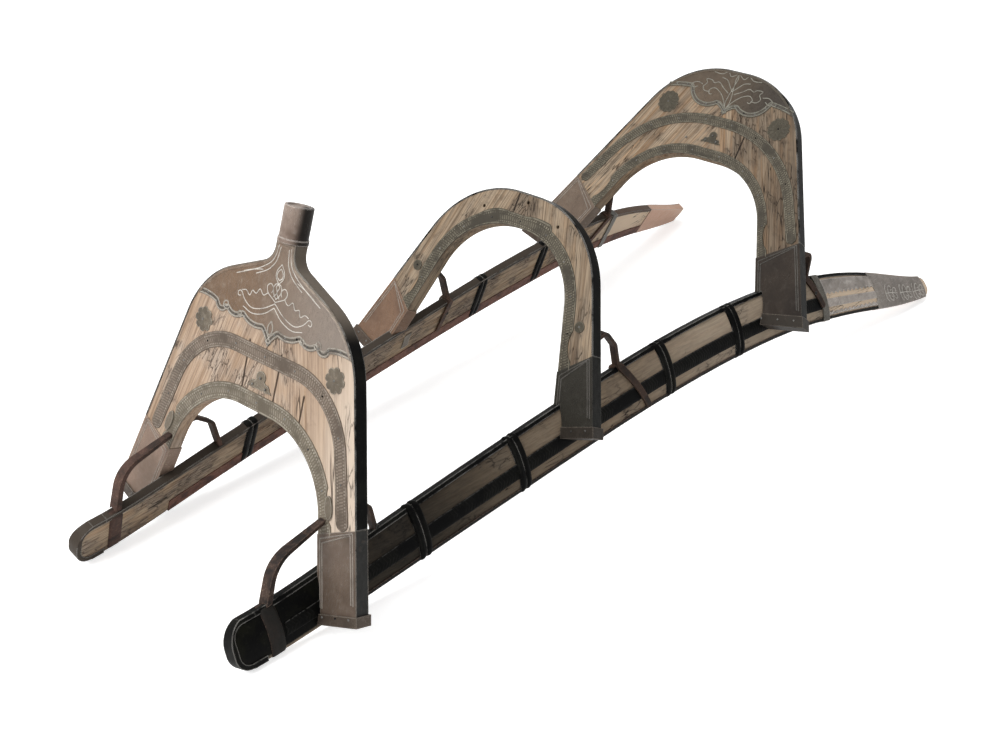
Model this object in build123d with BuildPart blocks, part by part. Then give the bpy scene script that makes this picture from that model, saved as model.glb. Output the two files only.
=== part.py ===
from build123d import *
from collections import namedtuple
from math import atan, copysign, cos, degrees, hypot, radians, sin, tan
import os

# Two-seat riding camel saddle frame: two bowed side rails carry a pommel arch with a horn,
# a low middle arch and a tall rear arch. X runs from the horn end to the rear, Y to the
# right-hand rail, Z up from the floor. The origin is on the floor, under the middle.

# Overall
overall_length = 1600
overrun = 60
sheet = 1.0
casing_sheet = 1.2
collar_wall = 2.4
collar_floor = 1.5
edge_binding_sheet = 2.0
nail_plate_sheet = 1.6
dowel_radius = 5
dowel_length = 45
dowel_inset = 3

# Side rails
rail_height = 86
rail_edge_thickness = 11
rail_bulge = 8
rail_camber = 66
rail_floor_gap = 4.1
rail_front_spread = 168
rail_rear_spread = 288
rail_front_lean = 18
rail_rear_lean = 34
rail_tip_top_radius = 33
rail_tip_low_radius = 25
rail_tail_radius = 12
# One row for each section: place along the rail, how far the spread has grown, how high the
# bottom edge has risen, the height and how far the lean has grown
rail_section_shares = (
    (0.000, 0.00, 0.00, 0.78, 0.00),
    (0.040, 0.02, 0.00, 0.78, 0.04),
    (0.135, 0.08, 0.20, 0.83, 0.16),
    (0.323, 0.17, 0.60, 0.92, 0.30),
    (0.510, 0.27, 0.92, 0.98, 0.26),
    (0.635, 0.37, 1.00, 1.00, 0.22),
    (0.760, 0.53, 0.89, 0.96, 0.36),
    (0.885, 0.77, 0.43, 0.82, 0.78),
    (0.955, 0.92, 0.10, 0.60, 0.96),
    (1.000, 1.00, -0.026, 0.42, 1.00),
)

# Strips, bands and plates on the rails
strip_sheet = 1.5
edge_strip_lap = 5
strip_joint = 0.2
tip_rim_station = 46
tip_rim_width = 6
face_strip_low_share = -0.26
face_strip_high_share = 0.03
lower_strip_lap = 20
lower_strip_face_lap = 4
lower_strip_start = 164
band_stations = (319, 520, 858, 1038)
band_width = 24
band_sheet = 4.5
rear_strap_station = 1275
rear_strap_width = 16
rear_strap_sheet = 3.0
tail_plate_start = 1285
sheath_start = 1428
sheath_end = 1588
sheath_sheet = 2.0
tail_teeth = 12
tail_tooth_depth = 4
tail_plate_bottom_share = -0.42
tail_plate_top_share = 0.40
tail_plate_low_share = -0.28
tail_plate_high_share = 0.24
tail_leaf_low_share = -0.12
tail_leaf_high_share = 0.08
leaf_plate_station = 668
leaf_plate_length = 16
leaf_plate_low_share = -0.12
leaf_plate_high_share = 0.24

# Pommel arch: half widths are taken at a height measured up the leaning board
front_station = 122
front_lean = 19
front_thickness = 20
front_leg_width = 256
front_leg_height = 42
front_leg_slope = 0.294
front_shoulder_rise = 0.42
front_shoulder_radius = 130
front_neck_half_width = 17
front_neck_radius = 28
front_neck_base = 455
front_neck_height = 482
front_opening_width = 163
front_opening_height = 116
front_opening_slope = 0.28
front_opening_crown = 247
front_opening_radius = 125
front_keystone_half_width = 35
front_foot_low = 20
front_foot_high = 44
front_casing_low = 134
front_casing_high = 163
front_collar_height = 14
front_dowel_height = 64
front_inner_band_width = 24
front_band_width_at = 144
front_band_slope = 0.32
front_band_crown = 324
front_band_radius = 112
front_band_end = 164
front_band_width = 22
front_rosette_across = 134
front_rosette_height = 336
front_rosette_radius = 18.5
front_trefoil_height = 287
front_trefoil_size = 25
front_crest_half_width = 164
front_crest_height = 358
front_scallop_depth = 22
# Ends and middles of the scallops' arcs, from the side to the centre: across and height
front_scallop_shares = (
    (1.10, 0.10),
    (0.85, 0.52),
    (0.707, 0.36),
    (0.634, -0.05),
    (0.555, 0.23),
    (0.451, -0.05),
    (0.354, 0.23),
    (0.213, -0.14),
    (0.100, -0.05),
    (0.050, -0.42),
    (0.000, -0.95),
)
horn_radius = 18
horn_length = 46
ferrule_wall = 2
ferrule_bead = 1.2
ferrule_bead_height = 6

# Middle arch
middle_station = 552
middle_lean = 29.5
middle_thickness = 22
middle_leg_width = 256
middle_leg_height = 126
middle_leg_slope = 0.43
middle_crown = 435
middle_crown_radius = 160
middle_opening_width = 165
middle_opening_height = 179
middle_opening_slope = 0.30
middle_opening_crown = 381
middle_opening_radius = 125
middle_foot_low = 101
middle_foot_high = 126
middle_casing_low = 197
middle_casing_high = 237
middle_collar_height = 17
middle_dowel_height = 136
middle_band_width = 21
middle_band_crest = 8
middle_band_crest_half_width = 62
middle_disc_across = 170
middle_disc_height = 271
middle_disc_radius = 8.5
middle_hole_radius = 2.8
middle_hole_places = ((79, 397), (2, 423), (71, 402))

# Rear arch
rear_station = 1019
rear_lean = 36.3
rear_thickness = 22
rear_leg_width = 306
rear_leg_height = 154
rear_leg_slope = 0.488
rear_crown = 549
rear_crown_radius = 151
rear_opening_width = 202
rear_opening_height = 184
rear_opening_slope = 0.44
rear_opening_crown = 383
rear_opening_radius = 140
rear_foot_low = 132
rear_foot_high = 152
rear_casing_low = 240
rear_casing_high = 286
rear_collar_height = 19
rear_dowel_height = 163
rear_inner_band_width = 18.5
rear_band_width_at = 135
rear_band_slope = 0.545
rear_band_crown = 453
rear_band_radius = 200
rear_band_end = 290
rear_band_width = 19
rear_rosette_across = 118
rear_rosette_height = 467
rear_rosette_radius = 22
rear_trefoil_height = 420
rear_trefoil_size = 21
rear_crest_half_width = 146
rear_crest_height = 492
rear_scallop_depth = 26
rear_scallop_shares = (
    (1.10, -0.30),
    (0.808, 0.25),
    (0.589, 0.42),
    (0.377, -0.65),
    (0.137, -0.35),
    (0.055, -0.60),
    (0.000, -1.00),
)


# Rosettes, trefoils and the leafy crest of the middle band
crest_dip_share = 0.7
crest_root_share = 0.8
petal_count = 8
petal_reach_share = 0.67
petal_radius_share = 0.33
rosette_boss_share = 0.3
rosette_boss_rise = 1.4
trefoil_lobe_share = 0.36
trefoil_rise_share = 0.3
trefoil_spread_share = 0.55
trefoil_tip_share = 0.62

# Front bows: side view in stations and heights, from the strap on the rail up to the arch
bow_low_station = 64
bow_low_height = 60
bow_bend_station = 85
bow_bend_height = 127
bow_high_station = 176
bow_high_height = 147
bow_bend_radius = 45
bow_low_thickness = 9
bow_high_thickness = 5
bow_low_width = 16
bow_high_width = 10
bow_across = 162
bow_strap_start = 50
bow_strap_end = 78
bow_strap_sheet = 3.0
bow_leaf_low = 158
bow_leaf_high = 190
bow_leaf_width = 13
bow_leaf_across = 168

# Braces behind the legs: side views in stations and heights
brace_width = 12
brace_thickness = 6
brace_sheet = 4.5
brace_bend_radius = 14
prong_width = 13
prong_tip_radius = 5
front_brace_landing = 257
front_brace_path = ((185, 152), (218, 154), (246, 134), (257, 84))
front_outer_prong = ((257, 84), (266, 30))
front_inner_prong = ((257, 84), (264, 46))
middle_brace_landing = 764
middle_brace_path = ((680, 207), (730, 215), (754, 185), (764, 144))
middle_outer_prong = ((764, 140), (799, 70))
middle_inner_prong = ((764, 140), (755, 86))
rear_brace_landing = 1256
rear_brace_path = ((1165, 184), (1236, 184), (1266, 186), (1256, 134))
rear_outer_prong = ((1250, 136), (1268, 84))
rear_inner_prong = ((1250, 136), (1210, 96))


def station_x(station):
    """Place along X of a distance from the front tip."""
    return station - overall_length / 2


def rail_shape(index):
    """Plane, height and bulge of one rail section: local X points outwards, local Y up the face."""
    along, spread, rise, tall, lean = rail_section_shares[index]
    height = rail_height * tall
    angle = radians(rail_front_lean + (rail_rear_lean - rail_front_lean) * lean)
    y = rail_front_spread + (rail_rear_spread - rail_front_spread) * spread
    z = rail_floor_gap + rail_camber * rise + (height * cos(angle) + rail_edge_thickness * sin(angle)) / 2
    plane = Plane(
        origin=(station_x(overall_length * along), y, z),
        x_dir=(0, cos(angle), sin(angle)),
        z_dir=(1, 0, 0),
    )
    return plane, height, rail_bulge * tall


def rail_point(station):
    """Spread, middle height, height and lean of the rail at a station, between its sections."""
    for low, high in zip(rail_section_shares, rail_section_shares[1:]):
        if station <= overall_length * high[0]:
            break
    part_way = (station / overall_length - low[0]) / (high[0] - low[0])
    spread, rise, tall, lean = [a + (b - a) * part_way for a, b in zip(low[1:], high[1:])]
    height = rail_height * tall
    angle = radians(rail_front_lean + (rail_rear_lean - rail_front_lean) * lean)
    y = rail_front_spread + (rail_rear_spread - rail_front_spread) * spread
    z = rail_floor_gap + rail_camber * rise + (height * cos(angle) + rail_edge_thickness * sin(angle)) / 2
    return y, z, height, angle


def rail_profile(height, bulge, grow, depth):
    """Flat inside, rounded outside; grow moves every side out and depth the inner face further."""
    half = height / 2 + grow
    inner = -rail_edge_thickness / 2 - grow - depth
    outer = rail_edge_thickness / 2 + grow
    with BuildLine() as outline:
        Polyline((outer, -half), (inner, -half), (inner, half), (outer, half))
        ThreePointArc((outer, half), (outer + bulge, 0), (outer, -half))
    make_face(outline.line)


def rail_loft(grow, window=None, depth=0):
    """Loft the grown rail, kept inside a window whose corners follow the height of each section."""
    sections = []
    last = len(rail_section_shares) - 1
    for index in range(last + 1):
        plane, height, bulge = rail_shape(index)
        if index == 0:
            plane = plane.offset(-grow)
        if index == last:
            plane = plane.offset(grow)
        with BuildSketch(plane) as section:
            rail_profile(height, bulge, grow, depth)
            if window:
                with BuildLine() as limits:
                    Polyline(*window(height), close=True)
                make_face(limits.line, mode=Mode.INTERSECT)
        sections.append(section.sketch)
    loft(sections)


def face_window(low_share, high_share, side):
    """Window over one face of the rail, outer or inner by side, between shares of its height."""

    def corners(height):
        low = height * low_share
        high = height * high_share
        return (0, low), (side * overrun, low), (side * overrun, high), (0, high)

    return corners


def top_window(height):
    """Window over the top edge, lapping both faces."""
    low = height / 2 - edge_strip_lap
    high = height / 2 + overrun
    return (-overrun, low), (overrun, low), (overrun, high), (-overrun, high)


def bottom_window(height):
    """Window over the bottom edge, with a wide lap on the inner face."""
    bottom = -height / 2
    return (
        (-overrun, bottom - overrun),
        (overrun, bottom - overrun),
        (overrun, bottom + lower_strip_face_lap),
        (0, bottom + lower_strip_face_lap),
        (0, bottom + lower_strip_lap),
        (-overrun, bottom + lower_strip_lap),
    )


def round_tail(grow):
    """Round the low and the high corner of the rail's rear end."""
    for end in (0, -1):
        tail = faces().sort_by(Axis.X)[-1]
        fillet(tail.edges().sort_by(Axis.Z)[end], radius=rail_tail_radius + grow)


def tip_corner(half, radius, grow, side):
    """The waste outside one rounded corner of the front tip, below or above by side."""
    with BuildLine() as outline:
        RadiusArc(
            (-radius, side * half),
            (grow, side * (half - radius - grow)),
            side * (radius + grow),
        )
        Polyline(
            (grow, side * (half - radius - grow)),
            (overrun, side * (half - radius - grow)),
            (overrun, side * (half + overrun)),
            (-radius, side * (half + overrun)),
            (-radius, side * half),
        )
    make_face(outline.line)


def round_tip(grow):
    """Round the front tip in side view, square to the leaning board."""
    plane, height, bulge = rail_shape(0)
    side = Plane(origin=plane.origin, x_dir=(-1, 0, 0), z_dir=plane.x_dir)
    with BuildSketch(side) as waste:
        tip_corner(height / 2 + grow, rail_tip_top_radius, grow, 1)
        tip_corner(height / 2 + grow, rail_tip_low_radius, grow, -1)
    extrude(waste.sketch, amount=overrun, both=True, mode=Mode.SUBTRACT)


def skin(grow):
    """Lay a sheet over the whole rail, its tip and its tail."""
    rail_loft(grow)
    round_tail(grow)
    round_tip(grow)


def keep_length(start, end):
    """Keep what lies between two stations."""
    with BuildSketch(Plane.XY.offset(-overrun)) as window:
        with Locations((station_x(start), 0)):
            Rectangle(end - start, overall_length, align=(Align.MIN, Align.CENTER))
    extrude(window.sketch, amount=overall_length, mode=Mode.INTERSECT)


def take_away(*pieces):
    """Cut the part away where other pieces already stand."""
    for piece in pieces:
        add(piece.part, mode=Mode.SUBTRACT)


def keep_largest():
    """Drop the slivers that a cut leaves beside the piece."""
    add(solids().sort_by(SortBy.VOLUME)[-1], mode=Mode.REPLACE)


def other_side(piece):
    """The same piece for the left-hand side."""
    with BuildPart() as left:
        mirror(piece.part, about=Plane.XZ)
    return left


# Side rail
with BuildPart() as rail_right:
    skin(0)

# Dark strip over the rail's top edge and round its tip
with BuildPart() as tip_rim:
    skin(strip_sheet)
    tip_plane, tip_height, tip_bulge = rail_shape(0)
    tip_side = Plane(origin=tip_plane.origin, x_dir=(-1, 0, 0), z_dir=tip_plane.x_dir)
    with BuildSketch(tip_side) as bare_tip:
        Rectangle(overall_length, tip_height - 2 * tip_rim_width)
        with Locations((-tip_rim_width, 0)):
            Rectangle(
                overall_length,
                overall_length,
                align=(Align.MAX, Align.CENTER),
                mode=Mode.INTERSECT,
            )
        fillet(
            bare_tip.vertices().group_by(Axis.X)[-1],
            radius=rail_tip_low_radius - tip_rim_width,
        )
    extrude(bare_tip.sketch, amount=overrun, both=True, mode=Mode.SUBTRACT)
    keep_length(-overrun, tip_rim_station)
    take_away(rail_right)
with BuildPart() as edge_strip_right:
    rail_loft(strip_sheet, top_window)
    keep_length(tip_rim_station + strip_joint, sheath_start)
    take_away(rail_right)
    add(tip_rim.part)

# Strip with chevrons along the middle of the outer face
with BuildPart() as face_strip_right:
    rail_loft(strip_sheet, face_window(face_strip_low_share, face_strip_high_share, 1))
    keep_length(bow_strap_end, rear_strap_station - rear_strap_width / 2)
    take_away(rail_right)

# Strip under the bottom edge, with its wide flange on the inner face
with BuildPart() as lower_strip_right:
    rail_loft(strip_sheet, bottom_window)
    keep_length(lower_strip_start, sheath_start)
    take_away(rail_right)


# The rail with its strips' thickness all round, which everything wrapped round it sits on
with BuildPart() as dressed_rail:
    rail_loft(strip_sheet)

# The same and all the room inside the rail, where no leg may stand
with BuildPart() as leg_limit:
    rail_loft(strip_sheet, depth=overrun)

# Binding bands and the strap behind the rear leg, over the strips
with BuildPart() as binding_bands_right:
    skin(band_sheet)
    with BuildSketch(Plane.XY.offset(-overrun)) as band_places:
        for station in band_stations:
            with Locations((station_x(station), 0)):
                Rectangle(band_width, overall_length)
    extrude(band_places.sketch, amount=overall_length, mode=Mode.INTERSECT)
    take_away(dressed_rail)
with BuildPart() as rear_strap_right:
    skin(rear_strap_sheet)
    keep_length(
        rear_strap_station - rear_strap_width / 2, rear_strap_station + rear_strap_width / 2
    )
    take_away(dressed_rail)

# Strap round the tip that carries the bow
with BuildPart() as bow_strap_right:
    skin(bow_strap_sheet)
    keep_length(bow_strap_start, bow_strap_end)
    take_away(dressed_rail)

# Sheath over the rear end
with BuildPart() as tail_sheath_right:
    skin(sheath_sheet)
    keep_length(sheath_start, sheath_end)
    take_away(rail_right)


def teeth(height_share, side):
    """A toothed edge along the tail plates, its teeth pointing up or down by side."""
    pitch = (sheath_start - tail_plate_start) / tail_teeth
    points = []
    for tooth in range(tail_teeth):
        station = tail_plate_start + tooth * pitch
        points.append((station, height_share, side))
        points.append((station + pitch / 2, height_share, 0))
    points.append((sheath_start, height_share, side))
    corners = []
    for station, share, reach in points:
        y, z, height, angle = rail_point(station)
        up = height * share + reach * tail_tooth_depth
        corners.append((station_x(station), z + up * cos(angle)))
    return corners


def level_line(height_share, drop):
    """The tail's edge in side view at a share of its height, moved down by drop."""
    corners = []
    for station in (tail_plate_start, (tail_plate_start + sheath_start) / 2, sheath_start):
        y, z, height, angle = rail_point(station)
        corners.append((station_x(station), z + (height * height_share - drop) * cos(angle)))
    return corners


# Sheet plates with toothed edges between the rear strap and the sheath
with BuildPart() as tail_plates_right:
    rail_loft(strip_sheet, face_window(tail_plate_bottom_share, tail_plate_top_share, 1))
    with BuildSketch(Plane.XZ) as plate_places:
        with BuildLine() as upper:
            Polyline(*teeth(tail_plate_high_share, -1), *reversed(level_line(1, 0)), close=True)
        make_face(upper.line)
        with BuildLine() as lower:
            Polyline(*teeth(tail_plate_low_share, 1), *reversed(level_line(-1, 0)), close=True)
        make_face(lower.line)
        with BuildLine() as middle:
            Polyline(
                *level_line(tail_leaf_high_share, 0),
                *reversed(level_line(tail_leaf_low_share, 0)),
                close=True,
            )
        make_face(middle.line)
    extrude(plate_places.sketch, amount=-overall_length, mode=Mode.INTERSECT)
    take_away(rail_right)

# Small leaf plate on the inner face
with BuildPart() as leaf_plate_right:
    rail_loft(nail_plate_sheet, face_window(leaf_plate_low_share, leaf_plate_high_share, -1))
    keep_length(
        leaf_plate_station - leaf_plate_length / 2, leaf_plate_station + leaf_plate_length / 2
    )
    take_away(rail_right)


# The arches
Arch = namedtuple("Arch", "station lean thickness leg opening outline foot casing top")


def half_width(shape, height, grow=0):
    """Half the width of a leg outline or an opening at a height up the board."""
    return shape[0] + grow * hypot(1, shape[2]) - shape[2] * (height - shape[1])


def round_top(shape, low, grow=0):
    """Corners and radii of a round-topped outline that widens downwards to a height."""
    crown = shape[3] + grow
    foot = half_width(shape, low, grow)
    shoulder = half_width(shape, crown, grow)
    corners = ((-foot, low), (-shoulder, crown), (shoulder, crown), (foot, low))
    return corners, (shape[4] + grow, shape[4] + grow)


def horn_top(shape, low, grow=0):
    """Corners and radii of the pommel's outline, with its sloping shoulders and its neck."""
    neck = front_neck_half_width + grow
    base = front_neck_base + grow * hypot(1, front_shoulder_rise)
    base = base - front_shoulder_rise * grow
    foot = half_width(shape, low, grow)
    edge_at_base = half_width(shape, base, grow)
    shoulder_drop = front_shoulder_rise * (edge_at_base - neck)
    shoulder_drop = shoulder_drop / (1 - front_shoulder_rise * shape[2])
    shoulder_height = base - shoulder_drop
    shoulder = half_width(shape, shoulder_height, grow)
    right = (
        (neck, front_neck_height),
        (neck, base),
        (shoulder, shoulder_height),
        (foot, low),
    )
    left = tuple((-across, height) for across, height in reversed(right))
    outer = front_shoulder_radius + grow
    inner = front_neck_radius - grow
    return left + right, (outer, inner, 0, 0, inner, outer)


front = Arch(
    front_station,
    front_lean,
    front_thickness,
    (front_leg_width, front_leg_height, front_leg_slope),
    (
        front_opening_width,
        front_opening_height,
        front_opening_slope,
        front_opening_crown,
        front_opening_radius,
    ),
    horn_top,
    (front_foot_low, front_foot_high, front_collar_height),
    (front_casing_low, front_casing_high),
    front_neck_height,
)
middle = Arch(
    middle_station,
    middle_lean,
    middle_thickness,
    (
        middle_leg_width,
        middle_leg_height,
        middle_leg_slope,
        middle_crown,
        middle_crown_radius,
    ),
    (
        middle_opening_width,
        middle_opening_height,
        middle_opening_slope,
        middle_opening_crown,
        middle_opening_radius,
    ),
    round_top,
    (middle_foot_low, middle_foot_high, middle_collar_height),
    (middle_casing_low, middle_casing_high),
    middle_crown,
)
rear = Arch(
    rear_station,
    rear_lean,
    rear_thickness,
    (rear_leg_width, rear_leg_height, rear_leg_slope, rear_crown, rear_crown_radius),
    (
        rear_opening_width,
        rear_opening_height,
        rear_opening_slope,
        rear_opening_crown,
        rear_opening_radius,
    ),
    round_top,
    (rear_foot_low, rear_foot_high, rear_collar_height),
    (rear_casing_low, rear_casing_high),
    rear_crown,
)


def board_plane(arch, depth=0):
    """The front face of a leaning board, or a plane behind it: local Y runs up the board."""
    angle = radians(arch.lean)
    face = Plane(
        origin=(station_x(arch.station), 0, 0),
        x_dir=(0, 1, 0),
        z_dir=(cos(angle), 0, -sin(angle)),
    )
    return face.offset(depth)


def fill(corners, radii, mode=Mode.ADD):
    """Fill an open outline, closed straight across its ends."""
    with BuildLine() as outline:
        edge = FilletPolyline(*corners, radius=radii)
        Line(edge @ 1, edge @ 0)
    make_face(outline.line, mode=mode)


def fill_arch(arch, grow=0, shrink=0):
    """The arch's face down to the floor, its outline grown and its opening shrunk."""
    fill(*arch.outline(arch.leg, 0, grow))
    fill(*round_top(arch.opening, 0, -shrink), mode=Mode.SUBTRACT)


def leg_line(arch, low, high):
    """A line across the right-hand leg: heights at its inner and outer edge, run past both."""
    inner = half_width(arch.opening, low)
    outer = half_width(arch.leg, high)
    rise = (high - low) / (outer - inner)
    return (
        (inner - overrun, low - overrun * rise),
        (outer + overrun, high + overrun * rise),
    )


def keep_between(low_line, high_line):
    """Keep the part of the sketch between two lines across the right-hand leg."""
    with BuildLine() as window:
        Polyline(*low_line, *reversed(high_line), close=True)
    make_face(window.line, mode=Mode.INTERSECT)


def keep_above(arch, line, start=0):
    """Keep the right-hand half of the sketch above a line across its leg."""
    low, high = line
    top = arch.top + overrun
    with BuildLine() as window:
        Polyline((start, low[1]), low, high, (high[0], top), (start, top), close=True)
    make_face(window.line, mode=Mode.INTERSECT)


def board(arch, start, *neighbours):
    """Right-hand board of an arch, from its joint at start down to its foot beside the rail."""
    with BuildSketch(board_plane(arch)) as outline:
        fill_arch(arch)
        keep_above(arch, leg_line(arch, arch.foot[0], arch.foot[1]), start)
    extrude(outline.sketch, amount=arch.thickness)
    take_away(*neighbours)


def raised(line, rise):
    """A line moved up the board."""
    return tuple((across, height + rise) for across, height in line)


def casing(arch, *neighbours):
    """Sheet shell round a right-hand foot, open at its ends."""
    foot = leg_line(arch, arch.foot[0], arch.foot[1])
    top = leg_line(arch, arch.casing[0], arch.casing[1])
    with BuildSketch(board_plane(arch, -casing_sheet)) as shell:
        fill_arch(arch, casing_sheet, casing_sheet)
        keep_between(foot, top)
    extrude(shell.sketch, amount=arch.thickness + 2 * casing_sheet)
    with BuildSketch(board_plane(arch)) as inside:
        fill_arch(arch)
    extrude(inside.sketch, amount=arch.thickness, mode=Mode.SUBTRACT)
    take_away(*neighbours)
    keep_largest()


def collar(arch, *neighbours):
    """Thick band round the casing's lower end, with a floor under the foot."""
    foot = leg_line(arch, arch.foot[0], arch.foot[1])
    reach = casing_sheet + collar_wall
    with BuildSketch(board_plane(arch, -reach)) as shell:
        fill_arch(arch, reach, reach)
        keep_between(raised(foot, -collar_floor), raised(foot, arch.foot[2]))
    extrude(shell.sketch, amount=arch.thickness + 2 * reach)
    with BuildSketch(board_plane(arch, -casing_sheet)) as inside:
        fill_arch(arch, casing_sheet, casing_sheet)
        keep_between(foot, raised(foot, arch.foot[2] + overrun))
    extrude(
        inside.sketch, amount=arch.thickness + 2 * casing_sheet, mode=Mode.SUBTRACT
    )
    take_away(*neighbours)
    keep_largest()
    mirror(about=Plane.XZ)


def dowel_place(arch, height):
    """Plane across the leg at a dowel, with the dowel's axis as its normal."""
    angle = radians(arch.lean)
    depth = arch.thickness / 2
    x = station_x(arch.station) + height * sin(angle) + depth * cos(angle)
    z = height * cos(angle) - depth * sin(angle)
    y, rail_z, rail_tall, rail_lean = rail_point(x + overall_length / 2)
    inner_face = y - (z - rail_z) * tan(rail_lean) - rail_edge_thickness / cos(rail_lean) / 2
    return Plane(origin=(x, inner_face + dowel_inset, z), x_dir=(0, 0, 1), z_dir=(0, 1, 0))


def drill_dowel(arch, height):
    """Bore the hole of a leg's dowel."""
    with BuildSketch(dowel_place(arch, height)) as bore:
        Circle(dowel_radius)
    extrude(bore.sketch, amount=dowel_length, mode=Mode.SUBTRACT)


# Middle arch: two halves that meet over the opening
with BuildPart() as middle_arch_right:
    board(middle, 0, leg_limit)
    drill_dowel(middle, middle_dowel_height)
    with BuildSketch(board_plane(middle)) as nail_holes:
        with Locations(middle_hole_places[0]):
            Circle(middle_hole_radius)
    extrude(nail_holes.sketch, amount=middle_thickness, mode=Mode.SUBTRACT)
with BuildPart() as middle_arch_left:
    with BuildSketch(board_plane(middle)) as outline:
        fill_arch(middle)
        keep_above(middle, leg_line(middle, middle_foot_low, middle_foot_high))
    extrude(outline.sketch, amount=middle_thickness)
    take_away(leg_limit)
    drill_dowel(middle, middle_dowel_height)
    with BuildSketch(board_plane(middle)) as nail_holes:
        with Locations(*middle_hole_places[1:]):
            Circle(middle_hole_radius)
    extrude(nail_holes.sketch, amount=middle_thickness, mode=Mode.SUBTRACT)
    mirror(about=Plane.XZ, mode=Mode.REPLACE)

# Rear arch: two halves
with BuildPart() as rear_arch_right:
    board(rear, 0, leg_limit)
    drill_dowel(rear, rear_dowel_height)

# Pommel arch: two boards with a keystone board between them, which carries the horn
with BuildPart() as front_arch_right:
    board(front, front_keystone_half_width, leg_limit)
    drill_dowel(front, front_dowel_height)


def horn_plane():
    """Top of the neck, square to the horn."""
    angle = radians(front_lean)
    depth = front_thickness / 2
    return Plane(
        origin=(
            station_x(front_station) + front_neck_height * sin(angle) + depth * cos(angle),
            0,
            front_neck_height * cos(angle) - depth * sin(angle),
        ),
        x_dir=(0, 1, 0),
        z_dir=(sin(angle), 0, cos(angle)),
    )


with BuildPart() as front_keystone:
    with BuildSketch(board_plane(front)) as outline:
        fill_arch(front)
        with Locations((0, front_neck_height)):
            Rectangle(
                2 * front_keystone_half_width,
                2 * (front_neck_height - front_opening_height),
                mode=Mode.INTERSECT,
            )
    extrude(outline.sketch, amount=front_thickness)
    with BuildSketch(horn_plane()) as horn:
        Circle(horn_radius)
    extrude(horn.sketch, amount=horn_length)

# Ferrule: a closed cap over the horn with a beaded foot and a shallow sunk top
with BuildPart() as horn_ferrule:
    with BuildSketch(horn_plane()) as tube:
        Circle(horn_radius + ferrule_wall)
    extrude(tube.sketch, amount=horn_length + 2 * ferrule_wall)
    fillet(edges().filter_by(GeomType.CIRCLE).sort_by(Axis.Z)[-1], radius=ferrule_wall / 2)
    with BuildSketch(horn_plane()) as bead:
        Circle(horn_radius + ferrule_wall + ferrule_bead)
    extrude(bead.sketch, amount=ferrule_bead_height)
    with BuildSketch(horn_plane()) as bore:
        Circle(horn_radius)
    extrude(bore.sketch, amount=horn_length, mode=Mode.SUBTRACT)
    with BuildSketch(horn_plane().offset(horn_length + ferrule_wall)) as sunk:
        Circle(horn_radius - ferrule_wall)
    extrude(sunk.sketch, amount=ferrule_wall, mode=Mode.SUBTRACT)


def scallop(width, height, depth, shares):
    """Space above a scalloped edge whose arcs run from the side to the centre, on both sides."""
    points = [(width * across, height + depth * up) for across, up in shares]
    left = [(-across, up) for across, up in reversed(points)]
    top = height + overall_length
    with BuildLine() as edge:
        for row in (points, left):
            for start, middle_point, end in zip(row[::2], row[1::2], row[2::2]):
                ThreePointArc(start, middle_point, end)
        Polyline(points[0], (points[0][0], top), (left[-1][0], top), left[-1])
    make_face(edge.line, mode=Mode.INTERSECT)


with BuildPart() as front_crest_plate:
    with BuildSketch(board_plane(front, -sheet)) as outline:
        fill(*front.outline(front.leg, 0))
        scallop(
            front_crest_half_width, front_crest_height, front_scallop_depth, front_scallop_shares
        )
    extrude(outline.sketch, amount=sheet)
with BuildPart() as rear_crest_plate:
    with BuildSketch(board_plane(rear, -sheet)) as outline:
        fill(*rear.outline(rear.leg, 0))
        scallop(rear_crest_half_width, rear_crest_height, rear_scallop_depth, rear_scallop_shares)
    extrude(outline.sketch, amount=sheet)


def edge_binding(arch):
    """Strip over the outer edge of an arch, from casing to casing."""
    with BuildSketch(board_plane(arch, -sheet)) as ring:
        fill(*arch.outline(arch.leg, 0, edge_binding_sheet))
        fill(*arch.outline(arch.leg, 0), mode=Mode.SUBTRACT)
        keep_above(arch, leg_line(arch, arch.casing[0], arch.casing[1]))
    extrude(ring.sketch, amount=arch.thickness + sheet)
    mirror(about=Plane.XZ)


with BuildPart() as front_edge_binding:
    edge_binding(front)
with BuildPart() as middle_edge_binding:
    edge_binding(middle)
with BuildPart() as rear_edge_binding:
    edge_binding(rear)


def inner_band(arch, width):
    """Band along the opening's edge, from casing to casing."""
    with BuildSketch(board_plane(arch, -sheet)) as ring:
        fill(*round_top(arch.opening, 0, width))
        fill(*round_top(arch.opening, 0), mode=Mode.SUBTRACT)
        keep_above(arch, leg_line(arch, arch.casing[0], arch.casing[1]))
    extrude(ring.sketch, amount=sheet)
    mirror(about=Plane.XZ)


with BuildPart() as front_inner_band:
    inner_band(front, front_inner_band_width)
with BuildPart() as rear_inner_band:
    inner_band(rear, rear_inner_band_width)
with BuildPart() as middle_inner_band:
    inner_band(middle, middle_band_width)
    crest_base = middle_opening_crown + middle_band_width
    with BuildSketch(board_plane(middle, -sheet)) as crest:
        with BuildLine() as leaves:
            for side in (-1, 1):
                ThreePointArc(
                    (0, crest_base + middle_band_crest * crest_dip_share),
                    (side * middle_band_crest_half_width / 2, crest_base + middle_band_crest / 2),
                    (side * middle_band_crest_half_width, crest_base - middle_band_crest / 2),
                )
                Line(
                    (side * middle_band_crest_half_width, crest_base - middle_band_crest / 2),
                    (side * middle_band_crest_half_width * crest_root_share,
                     crest_base - middle_band_width),
                )
            Line(
                (-middle_band_crest_half_width * crest_root_share, crest_base - middle_band_width),
                (middle_band_crest_half_width * crest_root_share, crest_base - middle_band_width),
            )
        make_face(leaves.line)
        fill(*round_top(middle.opening, 0), mode=Mode.SUBTRACT)
    extrude(crest.sketch, amount=sheet)


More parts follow.
